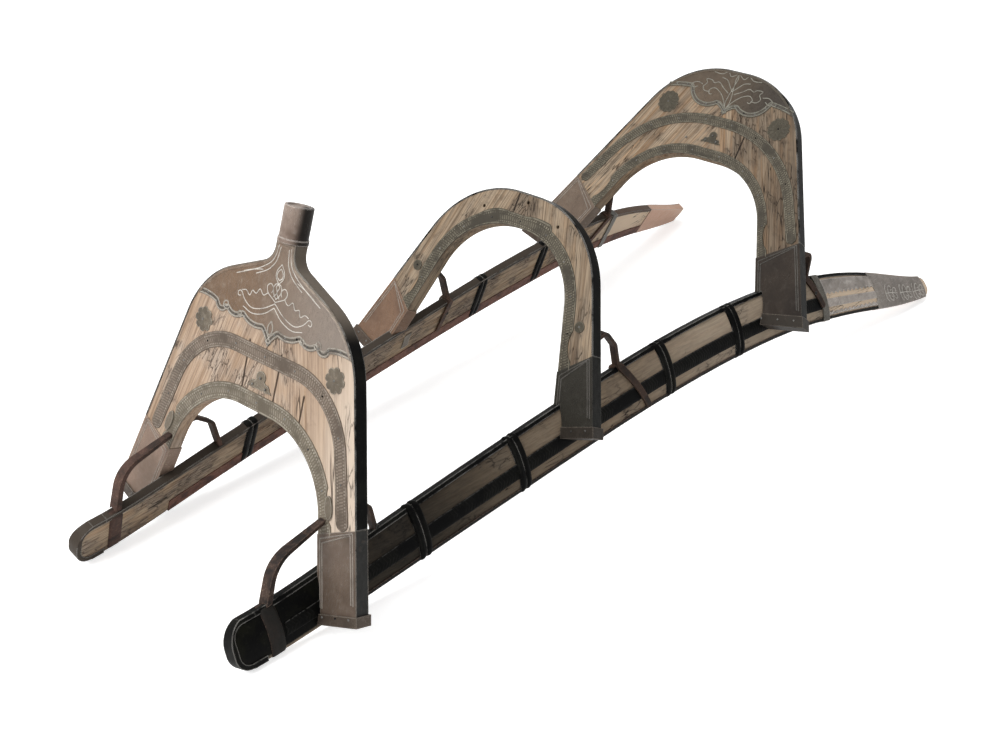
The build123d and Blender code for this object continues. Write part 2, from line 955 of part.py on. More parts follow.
def outer_band(arch, width_at, slope, crown, radius, width, end):
    """Band along a line between the opening and the outline, with rounded ends."""
    line = (width_at, crown, slope, crown, radius)
    foot = half_width(line, end)
    with BuildSketch(board_plane(arch, -sheet)) as ring:
        fill(*round_top(line, 0, width / 2))
        fill(*round_top(line, 0, -width / 2), mode=Mode.SUBTRACT)
        with Locations((0, end)):
            Rectangle(
                overall_length,
                overall_length,
                align=(Align.CENTER, Align.MIN),
                mode=Mode.INTERSECT,
            )
        with Locations((foot, end), (-foot, end)):
            Circle(width / 2)
    extrude(ring.sketch, amount=sheet)


with BuildPart() as front_outer_band:
    outer_band(
        front,
        front_band_width_at,
        front_band_slope,
        front_band_crown,
        front_band_radius,
        front_band_width,
        front_band_end,
    )
with BuildPart() as rear_outer_band:
    outer_band(
        rear,
        rear_band_width_at,
        rear_band_slope,
        rear_band_crown,
        rear_band_radius,
        rear_band_width,
        rear_band_end,
    )


def rosettes(arch, across, height, radius):
    """A pair of petalled nail plates, each with a boss."""
    with BuildSketch(board_plane(arch)) as petals:
        with Locations((across, height)):
            Circle(radius * petal_reach_share)
            with PolarLocations(radius * petal_reach_share, petal_count):
                Circle(radius * petal_radius_share)
    extrude(petals.sketch, amount=-nail_plate_sheet)
    with BuildSketch(board_plane(arch, -nail_plate_sheet)) as boss:
        with Locations((across, height)):
            Circle(radius * rosette_boss_share)
    extrude(boss.sketch, amount=-rosette_boss_rise)
    mirror(about=Plane.XZ)


with BuildPart() as front_rosettes:
    rosettes(front, front_rosette_across, front_rosette_height, front_rosette_radius)
with BuildPart() as rear_rosettes:
    rosettes(rear, rear_rosette_across, rear_rosette_height, rear_rosette_radius)
with BuildPart() as middle_discs:
    with BuildSketch(board_plane(middle)) as disc:
        with Locations((middle_disc_across, middle_disc_height)):
            Circle(middle_disc_radius)
    extrude(disc.sketch, amount=-nail_plate_sheet)
    mirror(about=Plane.XZ)


def trefoil(arch, height, size, *neighbours):
    """Leaf plate with a round upper lobe and two pointed lower lobes."""
    lobe = size * trefoil_lobe_share
    with BuildSketch(board_plane(arch)) as leaf:
        with Locations((0, height + size * trefoil_rise_share)):
            Circle(lobe)
        for side in (-1, 1):
            with Locations((side * size * trefoil_spread_share, height - lobe / 2)):
                Circle(lobe * trefoil_tip_share)
            with BuildLine() as point:
                Polyline(
                    (0, height + lobe),
                    (side * size, height - lobe),
                    (0, height - lobe),
                    close=True,
                )
            make_face(point.line)
    extrude(leaf.sketch, amount=-nail_plate_sheet)
    take_away(*neighbours)


with BuildPart() as front_trefoil:
    trefoil(front, front_trefoil_height, front_trefoil_size, front_inner_band, front_outer_band)
with BuildPart() as rear_trefoil:
    trefoil(rear, rear_trefoil_height, rear_trefoil_size, rear_inner_band, rear_outer_band)

# Dowels from the rails into the legs
with BuildPart() as leg_dowels:
    for arch, height in (
        (front, front_dowel_height),
        (middle, middle_dowel_height),
        (rear, rear_dowel_height),
    ):
        with BuildSketch(dowel_place(arch, height)) as dowel:
            Circle(dowel_radius)
        extrude(dowel.sketch, amount=dowel_length)
    mirror(about=Plane.XZ)
with BuildPart() as bored_rail_right:
    add(rail_right.part)
    take_away(leg_dowels)

# Casings and collars round the feet
foot_neighbours = (leg_limit, leg_dowels)
with BuildPart() as front_casing_right:
    casing(front, *foot_neighbours)
with BuildPart() as middle_casing_right:
    casing(middle, *foot_neighbours)
with BuildPart() as rear_casing_right:
    casing(rear, *foot_neighbours)
with BuildPart() as front_collars:
    collar(front, *foot_neighbours)
with BuildPart() as middle_collars:
    collar(middle, *foot_neighbours)
with BuildPart() as rear_collars:
    collar(rear, *foot_neighbours)


def ribbon(path, first, last, radius):
    """Side view of a tapering ribbon along stations and heights, with rounded bends."""
    points = [Vector(station_x(station), height) for station, height in path]
    runs = [(end - start).normalized() for start, end in zip(points, points[1:])]
    final = len(points) - 1
    left, right, left_radii, right_radii = [], [], [], []
    for index, point in enumerate(points):
        before = runs[max(index - 1, 0)]
        after = runs[min(index, final - 1)]
        half = (first + (last - first) * index / final) / 2
        across = (before + after).normalized()
        reach = Vector(-across.Y, across.X) * (half / across.dot(after))
        left.append(point + reach)
        right.append(point - reach)
        if 0 < index < final:
            turn = copysign(half, before.cross(after).Z)
            left_radii.append(radius - turn)
            right_radii.append(radius + turn)
    with BuildLine() as outline:
        upper = FilletPolyline(*left, radius=left_radii)
        lower = FilletPolyline(*right, radius=right_radii)
        Line(upper @ 0, lower @ 0)
        Line(upper @ 1, lower @ 1)
    make_face(outline.line)


# Forged bows from the tips of the rails to the pommel arch, narrowing upwards
with BuildPart() as front_bow_right:
    with BuildSketch(Plane.XZ.offset(-bow_across)) as side_view:
        ribbon(
            (
                (bow_low_station, bow_low_height),
                (bow_bend_station, bow_bend_height),
                (bow_high_station, bow_high_height),
            ),
            bow_low_thickness,
            bow_high_thickness,
            bow_bend_radius,
        )
    extrude(side_view.sketch, amount=bow_low_width / 2, both=True)
    with BuildSketch() as plan:
        with BuildLine():
            Polyline(
                (station_x(bow_low_station) - overrun, bow_across - bow_low_width / 2),
                (station_x(bow_bend_station), bow_across - bow_low_width / 2),
                (station_x(bow_high_station), bow_across - bow_high_width / 2),
                (station_x(bow_high_station), bow_across + bow_high_width / 2),
                (station_x(bow_bend_station), bow_across + bow_low_width / 2),
                (station_x(bow_low_station) - overrun, bow_across + bow_low_width / 2),
                close=True,
            )
        make_face()
    extrude(plan.sketch, amount=overall_length, mode=Mode.INTERSECT)
    take_away(dressed_rail, bow_strap_right, front_arch_right, front_inner_band)
    keep_largest()
with BuildPart() as bow_leaf_right:
    with BuildSketch(board_plane(front, -sheet)) as leaf:
        with Locations((bow_leaf_across, (bow_leaf_low + bow_leaf_high) / 2)):
            Ellipse(
                bow_leaf_width / 2,
                (bow_leaf_high - bow_leaf_low) / 2,
                rotation=degrees(atan(front_opening_slope)),
            )
    extrude(leaf.sketch, amount=-nail_plate_sheet)
    take_away(front_bow_right)

# Sheet of the braces' prongs, before it is cut to shape
with BuildPart() as prong_sheet:
    rail_loft(brace_sheet)


def prong(start, end, x, z, angle):
    """Outline of a prong on the leaning face of the rail, from its wide root to its tip."""
    with BuildSketch(Plane.XY, mode=Mode.PRIVATE) as ends:
        for (station, height), radius in ((start, prong_width / 2), (end, prong_tip_radius)):
            with Locations((station_x(station) - x, (height - z) / cos(angle))):
                Circle(radius)
    make_hull(ends.sketch.edges())


def braces(landing, path, outer_prong, inner_prong, *neighbours):
    """A pair of braces: a stem from the leg's back on to the rail, with a prong on each face."""
    y, z, height, angle = rail_point(landing)
    x = station_x(landing)
    face = Plane(origin=(x, y, z), x_dir=(1, 0, 0), z_dir=(0, -cos(angle), -sin(angle)))
    with BuildSketch(face) as outer:
        prong(*outer_prong, x, z, angle)
    extrude(outer.sketch, amount=-overrun)
    with BuildSketch(face) as inner:
        prong(*inner_prong, x, z, angle)
    extrude(inner.sketch, amount=overrun)
    add(prong_sheet.part, mode=Mode.INTERSECT)
    with BuildSketch(Plane.XZ.offset(height / 2 * sin(angle) - y)) as side_view:
        ribbon(path, brace_thickness, brace_thickness, brace_bend_radius)
    extrude(side_view.sketch, amount=brace_width / 2, both=True)
    take_away(*neighbours)
    keep_largest()
    mirror(about=Plane.XZ)


with BuildPart() as front_braces:
    braces(
        front_brace_landing,
        front_brace_path,
        front_outer_prong,
        front_inner_prong,
        dressed_rail,
        front_arch_right,
        front_casing_right,
    )
with BuildPart() as middle_braces:
    braces(
        middle_brace_landing,
        middle_brace_path,
        middle_outer_prong,
        middle_inner_prong,
        dressed_rail,
        middle_arch_right,
        middle_casing_right,
    )
with BuildPart() as rear_braces:
    braces(
        rear_brace_landing,
        rear_brace_path,
        rear_outer_prong,
        rear_inner_prong,
        dressed_rail,
        rear_strap_right,
        rear_arch_right,
        rear_casing_right,
    )
with BuildPart() as rail_leaf_plates:
    add(leaf_plate_right.part)
    mirror(about=Plane.XZ)

pieces = {}

# Pieces that come as a right and a left
for label, piece in (
    ("rail", bored_rail_right),
    ("edge_strip", edge_strip_right),
    ("face_strip", face_strip_right),
    ("lower_strip", lower_strip_right),
    ("binding_bands", binding_bands_right),
    ("rear_strap", rear_strap_right),
    ("tail_plates", tail_plates_right),
    ("tail_sheath", tail_sheath_right),
    ("bow_strap", bow_strap_right),
    ("front_bow", front_bow_right),
    ("bow_leaf", bow_leaf_right),
    ("front_arch", front_arch_right),
    ("front_casing", front_casing_right),
    ("middle_casing", middle_casing_right),
    ("rear_arch", rear_arch_right),
    ("rear_casing", rear_casing_right),
):
    pieces[label + "_right"] = piece
    pieces[label + "_left"] = other_side(piece)

# Pieces that stand across the middle, or whose node holds both sides
pieces.update(
    middle_arch_right=middle_arch_right,
    middle_arch_left=middle_arch_left,
    front_keystone=front_keystone,
    horn_ferrule=horn_ferrule,
    front_crest_plate=front_crest_plate,
    front_edge_binding=front_edge_binding,
    front_outer_band=front_outer_band,
    front_inner_band=front_inner_band,
    front_rosettes=front_rosettes,
    front_trefoil=front_trefoil,
    front_collars=front_collars,
    front_braces=front_braces,
    middle_edge_binding=middle_edge_binding,
    middle_inner_band=middle_inner_band,
    middle_discs=middle_discs,
    middle_collars=middle_collars,
    middle_braces=middle_braces,
    rear_crest_plate=rear_crest_plate,
    rear_edge_binding=rear_edge_binding,
    rear_outer_band=rear_outer_band,
    rear_inner_band=rear_inner_band,
    rear_rosettes=rear_rosettes,
    rear_trefoil=rear_trefoil,
    rear_collars=rear_collars,
    rear_braces=rear_braces,
    leg_dowels=leg_dowels,
    rail_leaf_plates=rail_leaf_plates,
)

os.makedirs("parts", exist_ok=True)
for label, piece in pieces.items():
    piece.part.label = label
    export_step(piece.part, f"parts/{label}.step")
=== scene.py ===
import math

import bmesh
import bpy
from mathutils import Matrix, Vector
from mathutils.bvhtree import BVHTree


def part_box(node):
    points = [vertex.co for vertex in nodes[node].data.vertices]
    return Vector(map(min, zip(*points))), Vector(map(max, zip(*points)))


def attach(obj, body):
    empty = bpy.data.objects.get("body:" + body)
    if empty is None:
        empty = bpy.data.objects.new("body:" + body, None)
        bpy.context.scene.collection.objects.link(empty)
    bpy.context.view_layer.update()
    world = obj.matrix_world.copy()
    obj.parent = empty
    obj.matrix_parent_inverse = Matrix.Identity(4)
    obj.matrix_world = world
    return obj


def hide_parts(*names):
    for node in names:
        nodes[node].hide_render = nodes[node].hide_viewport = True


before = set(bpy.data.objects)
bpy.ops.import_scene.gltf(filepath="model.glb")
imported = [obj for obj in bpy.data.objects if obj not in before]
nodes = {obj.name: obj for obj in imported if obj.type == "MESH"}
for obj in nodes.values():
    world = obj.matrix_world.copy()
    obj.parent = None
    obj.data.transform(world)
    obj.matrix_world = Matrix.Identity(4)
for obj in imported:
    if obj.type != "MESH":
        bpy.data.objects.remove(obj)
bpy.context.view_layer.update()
print("loaded", len(nodes), "nodes")

mm = 0.001  # a millimetre in metres

# The three leaning boards, in metres. Foot is where a board's front face meets the floor along X.
# Heights are measured up the board, and leg and opening give half widths that shrink with height.
frontBoard = {
    "foot": -0.678,
    "lean": 19.0,
    "opening": {"across": 0.163, "height": 0.116, "slope": 0.28, "crown": 0.247, "radius": 0.125},
    "leg": {"across": 0.256, "height": 0.042, "slope": 0.294},
    "casingFoot": (0.02, 0.044),
    "casingTop": (0.134, 0.163),
}
middleBoard = {
    "foot": -0.248,
    "lean": 29.5,
    "opening": {"across": 0.165, "height": 0.179, "slope": 0.3, "crown": 0.381, "radius": 0.125},
    "leg": {"across": 0.256, "height": 0.126, "slope": 0.43},
    "casingFoot": (0.101, 0.126),
    "casingTop": (0.197, 0.237),
}
rearBoard = {
    "foot": 0.219,
    "lean": 36.3,
    "opening": {"across": 0.202, "height": 0.184, "slope": 0.44, "crown": 0.383, "radius": 0.14},
    "leg": {"across": 0.306, "height": 0.154, "slope": 0.488},
    "casingFoot": (0.132, 0.152),
    "casingTop": (0.24, 0.286),
}
boards = {"front": frontBoard, "middle": middleBoard, "rear": rearBoard}
sides = {"left": -1, "right": 1}  # the photograph's near rail is the left one


# One operation of shader maths as a method; swapped puts the other term first
def maths(operation, swapped=False):
    def calculate(wire, other=0.0):
        terms = (other, wire) if swapped else (wire, other)
        return wire.finish.add("ShaderNodeMath", {"operation": operation}, dict(enumerate(terms)))
    return calculate


# Shader maths as plain Python
class Wire:
    __add__ = maths("ADD")
    __radd__ = maths("ADD", True)
    __sub__ = maths("SUBTRACT")
    __rsub__ = maths("SUBTRACT", True)
    __mul__ = maths("MULTIPLY")
    __rmul__ = maths("MULTIPLY", True)
    __truediv__ = maths("DIVIDE")
    __pow__ = maths("POWER")
    __abs__ = maths("ABSOLUTE")
    greater = maths("MAXIMUM")
    repeat = maths("FLOORED_MODULO")

    def __init__(self, finish, socket):
        self.finish = finish
        self.socket = socket

    # A smooth step from nought at low to one at high
    def rising(self, low, high):
        inputs = {0: self, 1: low, 2: high, 3: 0.0, 4: 1.0}
        return self.finish.add("ShaderNodeMapRange", {"interpolation_type": "SMOOTHSTEP"}, inputs)


# One material or world and the nodes that paint it
class Finish:
    def __init__(self, name, kind="materials"):
        self.owner = getattr(bpy.data, kind).new(name)
        self.owner.use_nodes = True
        self.tree = self.owner.node_tree
        self.tree.nodes.clear()

    # A node by its type, its settings and the values or links of its sockets
    def add(self, kind, settings, inputs, output=0):
        node = self.tree.nodes.new(kind)
        for key, value in settings.items():
            setattr(node, key, value)
        for key, value in inputs.items():
            socket = node.inputs[key]
            if isinstance(value, Wire):
                self.tree.links.new(value.socket, socket)
            elif socket.type == "RGBA":
                socket.default_value = (*value, 1.0)
            else:
                socket.default_value = value
        return Wire(self, node.outputs[output]) if node.outputs else node

    def place(self, turn=(0.0, 0.0, 0.0), shift=(0.0, 0.0, 0.0)):
        coords = self.add("ShaderNodeTexCoord", {}, {}, "Object")
        inputs = {"Vector": coords, "Location": shift, "Rotation": turn}
        return self.add("ShaderNodeMapping", {"vector_type": "POINT"}, inputs)

    # Depth, across and up in a board's own frame
    def board(self, board):
        lean = math.radians(board["lean"])
        shift = (-board["foot"] * math.cos(lean), 0.0, -board["foot"] * math.sin(lean))
        return self.place((0.0, -lean, 0.0), shift)

    # The third coordinate runs the length of the rails
    def along(self):
        return self.place((0.0, math.radians(-90.0), 0.0))

    def parts(self, vector):
        first = self.add("ShaderNodeSeparateXYZ", {}, {0: vector})
        return [Wire(self, output) for output in first.socket.node.outputs]

    def join(self, x, y, z):
        return self.add("ShaderNodeCombineXYZ", {}, {"X": x, "Y": y, "Z": z})

    # The run and the place across that a piece's pattern map holds
    def pattern(self):
        return self.parts(self.add("ShaderNodeUVMap", {"uv_map": "pattern"}, {}))[:2]

    def vectors(self, operation, first, second, output=0):
        return self.add("ShaderNodeVectorMath", {"operation": operation}, {0: first, 1: second}, output)

    def noise(self, vector, scale, detail=3.0, rough=0.55, warp=0.0):
        inputs = {"Vector": vector, "Scale": scale, "Detail": detail}
        inputs |= {"Roughness": rough, "Distortion": warp}
        return self.add("ShaderNodeTexNoise", {"noise_dimensions": "3D"}, inputs)

    # Noise drawn out by a factor along each coordinate
    def grain(self, vector, factors, detail=3.0, rough=0.55, warp=0.0):
        return self.noise(self.vectors("MULTIPLY", vector, factors), 1.0, detail, rough, warp)

    # Thin dark lines of a net of cracks
    def net(self, vector, factors, width):
        stretched = self.vectors("MULTIPLY", vector, factors)
        settings = {"feature": "DISTANCE_TO_EDGE"}
        distance = self.add("ShaderNodeTexVoronoi", settings, {"Vector": stretched, "Scale": 1.0})
        return 1.0 - distance.rising(0.0, width)

    def blend(self, low, high, factor):
        inputs = {0: factor, 6: low, 7: high}
        return self.add("ShaderNodeMix", {"data_type": "RGBA"}, inputs, 2)

    # Coats of colour over one another, each with the mask of where it lies
    def coats(self, colour, *coats):
        for shade, where in coats:
            colour = self.blend(colour, shade, where)
        return colour

    # A normal rounded over the sharp edges, and a mask of those edges
    def rounded(self, radius):
        soft = self.add("ShaderNodeBevel", {"samples": 4}, {"Radius": radius})
        flat = self.add("ShaderNodeNewGeometry", {}, {}, "Normal")
        return soft, (1.0 - self.vectors("DOT_PRODUCT", soft, flat, "Value")).rising(0.004, 0.06)

    def bump(self, height, distance, strength=1.0, under=None):
        inputs = {"Height": height, "Distance": distance, "Strength": strength}
        if under:
            inputs["Normal"] = under
        return self.add("ShaderNodeBump", {}, inputs)

    # One for a ray that meets the eye straight, or by a mirror or a glass
    def seen(self):
        rays = ("Camera", "Glossy", "Transmission")
        camera, *others = [self.add("ShaderNodeLightPath", {}, {}, f"Is {ray} Ray") for ray in rays]
        return camera.greater(others[0]).greater(others[1])

    def surface(self, colour, rough, **others):
        inputs = {key.replace("_", " "): value for key, value in others.items()}
        inputs |= {"Base Color": colour, "Roughness": rough}
        shade = self.add("ShaderNodeBsdfPrincipled", {}, inputs)
        self.add("ShaderNodeOutputMaterial", {}, {"Surface": shade})
        return self.owner


# Old dry boards: grain along the third coordinate, splits, a net of fine cracks and dirt in the grain.
# Joints are dark lines at places across the board, each with the heights it runs between.
def weatheredWood(name, board, tone, joints=(), tint=None):
    finish = Finish(name)
    coords = finish.board(board) if board else finish.along()
    depth, across, up = finish.parts(coords)
    if board:
        half = across.rising(-0.0002, 0.0002) * 3.0
        coords = finish.join(depth + half, abs(across) + up * board["opening"]["slope"], up)
    fibres = finish.grain(coords, (360.0, 360.0, 10.0), 4.0, 0.65)
    streaks = finish.grain(coords, (95.0, 95.0, 4.5), 4.0, 0.6, 0.5)
    broad = finish.grain(coords, (26.0, 26.0, 3.0))
    patches = finish.noise(coords, 13.0, 3.0, 0.6)
    stains = finish.noise(coords, 42.0, 3.0, 0.6)
    rings = finish.grain(coords, (190.0, 190.0, 7.0), 2.0, 0.5, 0.8)
    splitPlace = finish.grain(coords, (70.0, 70.0, 4.0), 2.0, 0.5, 0.7)
    splitReach = finish.grain(coords, (14.0, 14.0, 8.0), 1.0)
    split = 1.0 - abs(splitPlace - 0.5).rising(0.002, 0.009)
    split = split * splitReach.rising(0.54, 0.62)
    wander = (fibres - 0.5) * 0.01
    warped = finish.vectors("ADD", coords, finish.join(wander, wander, wander * 2.0))
    craze = finish.net(warped, (130.0, 130.0, 34.0), 0.04) * patches.rising(0.5, 0.6)
    for place, low, high in joints:
        line = 1.0 - abs(across - place + (streaks - 0.5) * 0.003).rising(0.0006, 0.002)
        split = split.greater(line * up.rising(low, low + 0.004) * (1.0 - up.rising(high - 0.004, high)))
    colour = finish.coats(
        tone["pale"],
        (tone["warm"], streaks.rising(0.42, 0.66)),
        (tone["grey"], patches.rising(0.44, 0.64) * 0.7),
        (tone["dark"], broad.rising(0.48, 0.72) * 0.4),
        (tone["dark"], streaks.rising(0.54, 0.72) * 0.3),
        (tone["dark"], rings.rising(0.5, 0.64) * 0.28),
        (tone["dark"], fibres.rising(0.44, 0.62) * 0.6),
        (tone["dark"], stains.rising(0.56, 0.72) * 0.45),
    )
    if tint:
        colour = finish.coats(colour, tint(finish))
    colour = finish.blend(colour, tone["split"], split.greater(craze * 0.75) * 0.92)
    height = fibres * 0.6 + rings * 0.4 + streaks * 0.3 - split * 1.2 - craze * 0.7
    normal = finish.bump(height, 1.6 * mm)
    return finish.surface(colour, 0.76 + fibres * 0.18, Specular_IOR_Level=0.15, Normal=normal)


# One on the outer side of the rails and nought inside: the outer faces look outwards and up
def outerSide(finish):
    along, across, up = finish.parts(finish.place())
    run = ((along + 0.8) / 1.6).greater(0.0)
    spread = 0.168 + run * 0.062 + run ** 4.0 * 0.058
    middle = 0.037 + run * 0.15 - run ** 4.0 * 0.167
    return (abs(across) - spread + (up - middle) * 0.4).rising(-0.003, 0.005)


# Soot and painted shade outside, blackest at the front, and bleached inside towards the tails
def railTint(finish):
    along = finish.parts(finish.place())[0]
    outer = outerSide(finish)
    bare = along.rising(0.475, 0.485)
    sootyAndShaded = outer * (1.0 - bare)
    # Soot with painted shade: near black at the front, paler towards the tails
    sootAndShade = finish.coats(
        (0.011, 0.01, 0.008),
        ((0.19, 0.148, 0.105), along.rising(-0.5, -0.08)),
        ((0.36, 0.295, 0.225), along.rising(-0.05, 0.2)),
    )
    shade = finish.blend((0.8, 0.64, 0.48), sootAndShade, sootyAndShaded)
    inner = (1.0 - outer) * along.rising(0.35, 0.55) * 0.95
    return shade, (sootyAndShaded * (0.94 - along.rising(-0.5, -0.05) * 0.3)).greater(inner.greater(bare * 0.9))


# A shade on the left that gives way between two places across
def leftTint(shade, low, high, share):
    def tint(finish):
        across = finish.parts(finish.place())[1]
        return shade, (1.0 - across.rising(low, high)) * share
    return tint


# On its left the front wood is bleached, the front crest gets a painted grey sheen, and the others are
# darkened by painted shade
frontWoodTint = leftTint((0.58, 0.485, 0.395), -0.19, -0.09, 0.72)
rearWoodShadeTint = leftTint((0.078, 0.058, 0.041), -0.2, 0.05, 0.62)
crestSheenTint = leftTint((0.215, 0.187, 0.164), -0.12, 0.08, 0.7)
rearCrestShadeTint = leftTint((0.024, 0.019, 0.014), -0.1, 0.06, 0.92)
collarShadeTint = leftTint((0.024, 0.02, 0.016), -0.1, 0.1, 0.9)


# Painted shade down the side of the ferrule that looks left and back
def ferruleShadeTint(finish):
    depth, across = finish.parts(finish.board(frontBoard))[:2]
    side = (depth - 0.012) * 0.667 - across * 0.745
    return (0.005, 0.004, 0.003), side.rising(-0.002, 0.01) * 0.97


# Bare copper red on the inner side of a sheath
def sheathTint(finish):
    return (0.5, 0.29, 0.19), (1.0 - outerSide(finish)) * 0.9


# The front board's rim is bronze over the crest and black below
def rimTint(finish):
    up = finish.parts(finish.board(frontBoard))[2]
    return (0.15, 0.125, 0.1), up.rising(0.385, 0.42) * 0.9


# Worn brown on the right rail, rusty towards its tail
def railRimTint(finish):
    along, across = finish.parts(finish.place())[:2]
    shade = finish.blend((0.06, 0.048, 0.038), (0.125, 0.085, 0.062), along.rising(0.4, 0.52))
    return shade, across.rising(-0.01, 0.01) * 0.78


# Painted shade: black over the edge of a leg's casing on the near side
def casingShadeTint(board):
    leg = board["leg"]

    def tint(finish):
        across, up = finish.parts(finish.board(board))[1:]
        edge = abs(across) + (up - leg["height"]) * leg["slope"] - leg["across"]
        return (0.004, 0.004, 0.003), edge.rising(-0.0003, 0.0005)
    return tint


def agedSheet(name, tone, metal, shine, mottling=1.0, tint=None, gloss=0.5):
    finish = Finish(name)
    coords = finish.place()
    clouds = finish.noise(coords, 9.0, 4.0, 0.6, 0.3)
    mottle = finish.noise(coords, 70.0, 5.0, 0.65, 0.4)
    specks = finish.noise(coords, 420.0, 2.0, 0.5)
    dents = finish.noise(coords, 60.0, 2.0, 0.5)
    scratch = finish.grain(coords, (50.0, 520.0, 50.0), 2.0, 0.5, 0.5)
    scratch = (1.0 - abs(scratch - 0.5).rising(0.003, 0.016)) * clouds.rising(0.42, 0.56)
    soft, wearAndHighlight = finish.rounded(2.2 * mm)
    colour = finish.coats(
        tone["dark"],
        (tone["mid"], clouds.rising(0.3, 0.6)),
        (tone["worn"], mottle.rising(0.5, 0.8) * 0.45 * mottling),
        (tone["dark"], mottle.rising(0.5, 0.3) * 0.45 * mottling),
        (tone["dark"], specks.rising(0.6, 0.74) * 0.4),
        (tone["worn"], scratch * 0.6),
    )
    if tint:
        shade, where = tint(finish)
        colour = finish.blend(colour, finish.blend(shade, colour, mottle.rising(0.55, 0.85) * 0.5), where)
    # Worn edges, brightened further by a painted highlight
    colour = finish.blend(colour, tone["worn"], wearAndHighlight * mottle.rising(0.25, 0.5) * 0.9)
    height = dents * 1.2 + mottle * 0.4 - scratch * 0.25
    normal = finish.bump(height, 1.6 * mm, 0.8, soft)
    rough = shine + mottle * 0.18
    return finish.surface(colour, rough, Metallic=metal, Specular_IOR_Level=gloss, Normal=normal)


# Brass punched with a row of slanted strokes between two rows of beads, worn plain in places
def punchedBrass(name, tone, halfBand):
    finish = Finish(name)
    coords = finish.place()
    run, across = finish.pattern()
    across = across / halfBand
    clouds = finish.noise(coords, 22.0, 3.0, 0.6)
    mottle = finish.noise(coords, 120.0, 3.0, 0.6)
    pitch = 4.2 * mm
    slant = (run + across * 2.2 * mm).repeat(pitch) / pitch
    stroke = abs(slant - 0.5).rising(0.14, 0.34) * (1.0 - abs(across).rising(0.28, 0.36))
    bead = run.repeat(pitch) / pitch - 0.5
    row = (abs(across) - 0.55) * 2.6
    bead = 1.0 - (bead * bead + row * row).rising(0.04, 0.16)
    kept = clouds.rising(0.34, 0.5)
    relief = (stroke * 0.45 + bead) * kept
    rim = abs(across).rising(0.72, 0.8) * (1.0 - abs(across).rising(0.88, 0.95))
    colour = finish.coats(
        tone["dark"],
        (tone["mid"], clouds.rising(0.35, 0.65)),
        (tone["dark"], kept * (1.0 - relief.rising(0.1, 0.5)) * 0.45),
        (tone["worn"], relief * mottle.rising(0.3, 0.6) * 0.75),
        (tone["worn"], rim * mottle.rising(0.35, 0.65) * 0.7),
        (tone["dark"], mottle.rising(0.56, 0.76) * 0.7),
    )
    normal = finish.bump(relief + mottle * 0.4, 0.6 * mm, 0.9)
    rough = 0.42 + mottle * 0.25
    return finish.surface(colour, rough, Metallic=0.3, Specular_IOR_Level=0.25, Normal=normal)


# Near-black iron, worn grey on its high places, with edges worn grey and lit by a painted highlight
def blackIron(name, tone, tint=None):
    finish = Finish(name)
    coords = finish.place()
    clouds = finish.noise(coords, 30.0, 4.0, 0.6)
    grains = finish.noise(coords, 260.0, 3.0, 0.6)
    soft, wearAndHighlight = finish.rounded(2.4 * mm)
    colour = finish.blend(tone["dark"], tone["mid"], clouds.rising(0.42, 0.66))
    if tint:
        colour = finish.coats(colour, tint(finish))
    colour = finish.blend(colour, tone["worn"], grains.rising(0.56, 0.78) * 0.4)
    # Edges worn grey, with a painted highlight
    colour = finish.blend(colour, tone["rubbed"], wearAndHighlight * clouds.rising(0.34, 0.54) * 0.85)
    normal = finish.bump(clouds * 0.6 + grains * 0.3, 0.8 * mm, 0.6, soft)
    return finish.surface(colour, 0.32 + grains * 0.25, Specular_IOR_Level=0.03, Normal=normal)


# Rust over brown iron, and black where the shade mask lies: painted shade
def rustyIron(name, tone, shadeMask=None, share=1.0):
    finish = Finish(name)
    coords = finish.place()
    clouds = finish.noise(coords, 38.0, 5.0, 0.65, 0.4)
    grains = finish.noise(coords, 330.0, 4.0, 0.7)
    soft, wearAndHighlight = finish.rounded(2.2 * mm)
    colour = finish.blend(tone["dark"], tone["mid"], clouds.rising(0.36, 0.58))
    colour = finish.blend(colour, tone["worn"], grains.rising(0.5, 0.72) * clouds.rising(0.4, 0.7))
    if shadeMask:
        colour = finish.blend(colour, ironTone["mid"], shadeMask(finish) * share)
    # Worn edges, brightened further by a painted highlight
    colour = finish.blend(colour, tone["worn"], wearAndHighlight * grains.rising(0.35, 0.6) * 0.7)
    normal = finish.bump(grains + clouds * 0.7, 0.7 * mm, 0.7, soft)
    return finish.surface(colour, 0.55 + grains * 0.3, Specular_IOR_Level=0.15, Normal=normal)


# Black strip with rows of chevrons pressed along it; pattern holds the run and the place across
def chevronIron(name, tone):
    finish = Finish(name)
    coords = finish.place()
    run, across = finish.pattern()
    clouds = finish.noise(coords, 26.0, 3.0, 0.6)
    grains = finish.noise(coords, 240.0, 3.0, 0.6)
    pitch = 6.0 * mm
    wave = (run + abs(across) * 7.0 * mm).repeat(pitch) / pitch
    groove = 1.0 - abs(wave - 0.5).rising(0.1, 0.24)
    groove = groove * (1.0 - abs(across).rising(0.78, 0.86)) * clouds.rising(0.4, 0.55)
    rim = abs(across).rising(0.86, 0.94)
    colour = finish.coats(
        tone["dark"],
        (tone["mid"], clouds.rising(0.36, 0.66)),
        (tone["worn"], groove * grains.rising(0.3, 0.6) * 0.22),
        # The strip's rim worn grey, with a painted highlight
        (tone["rubbed"], rim * grains.rising(0.4, 0.6) * 0.15),
    )
    normal = finish.bump(groove + rim * 0.6 + grains * 0.2, 0.8 * mm, 0.8)
    return finish.surface(colour, 0.36 + grains * 0.25, Specular_IOR_Level=0.03, Normal=normal)


def woodTone(*colours):
    return dict(zip(("pale", "warm", "grey", "dark", "split"), colours))


def metalTone(*colours):
    return dict(zip(("dark", "mid", "worn", "rubbed"), colours))


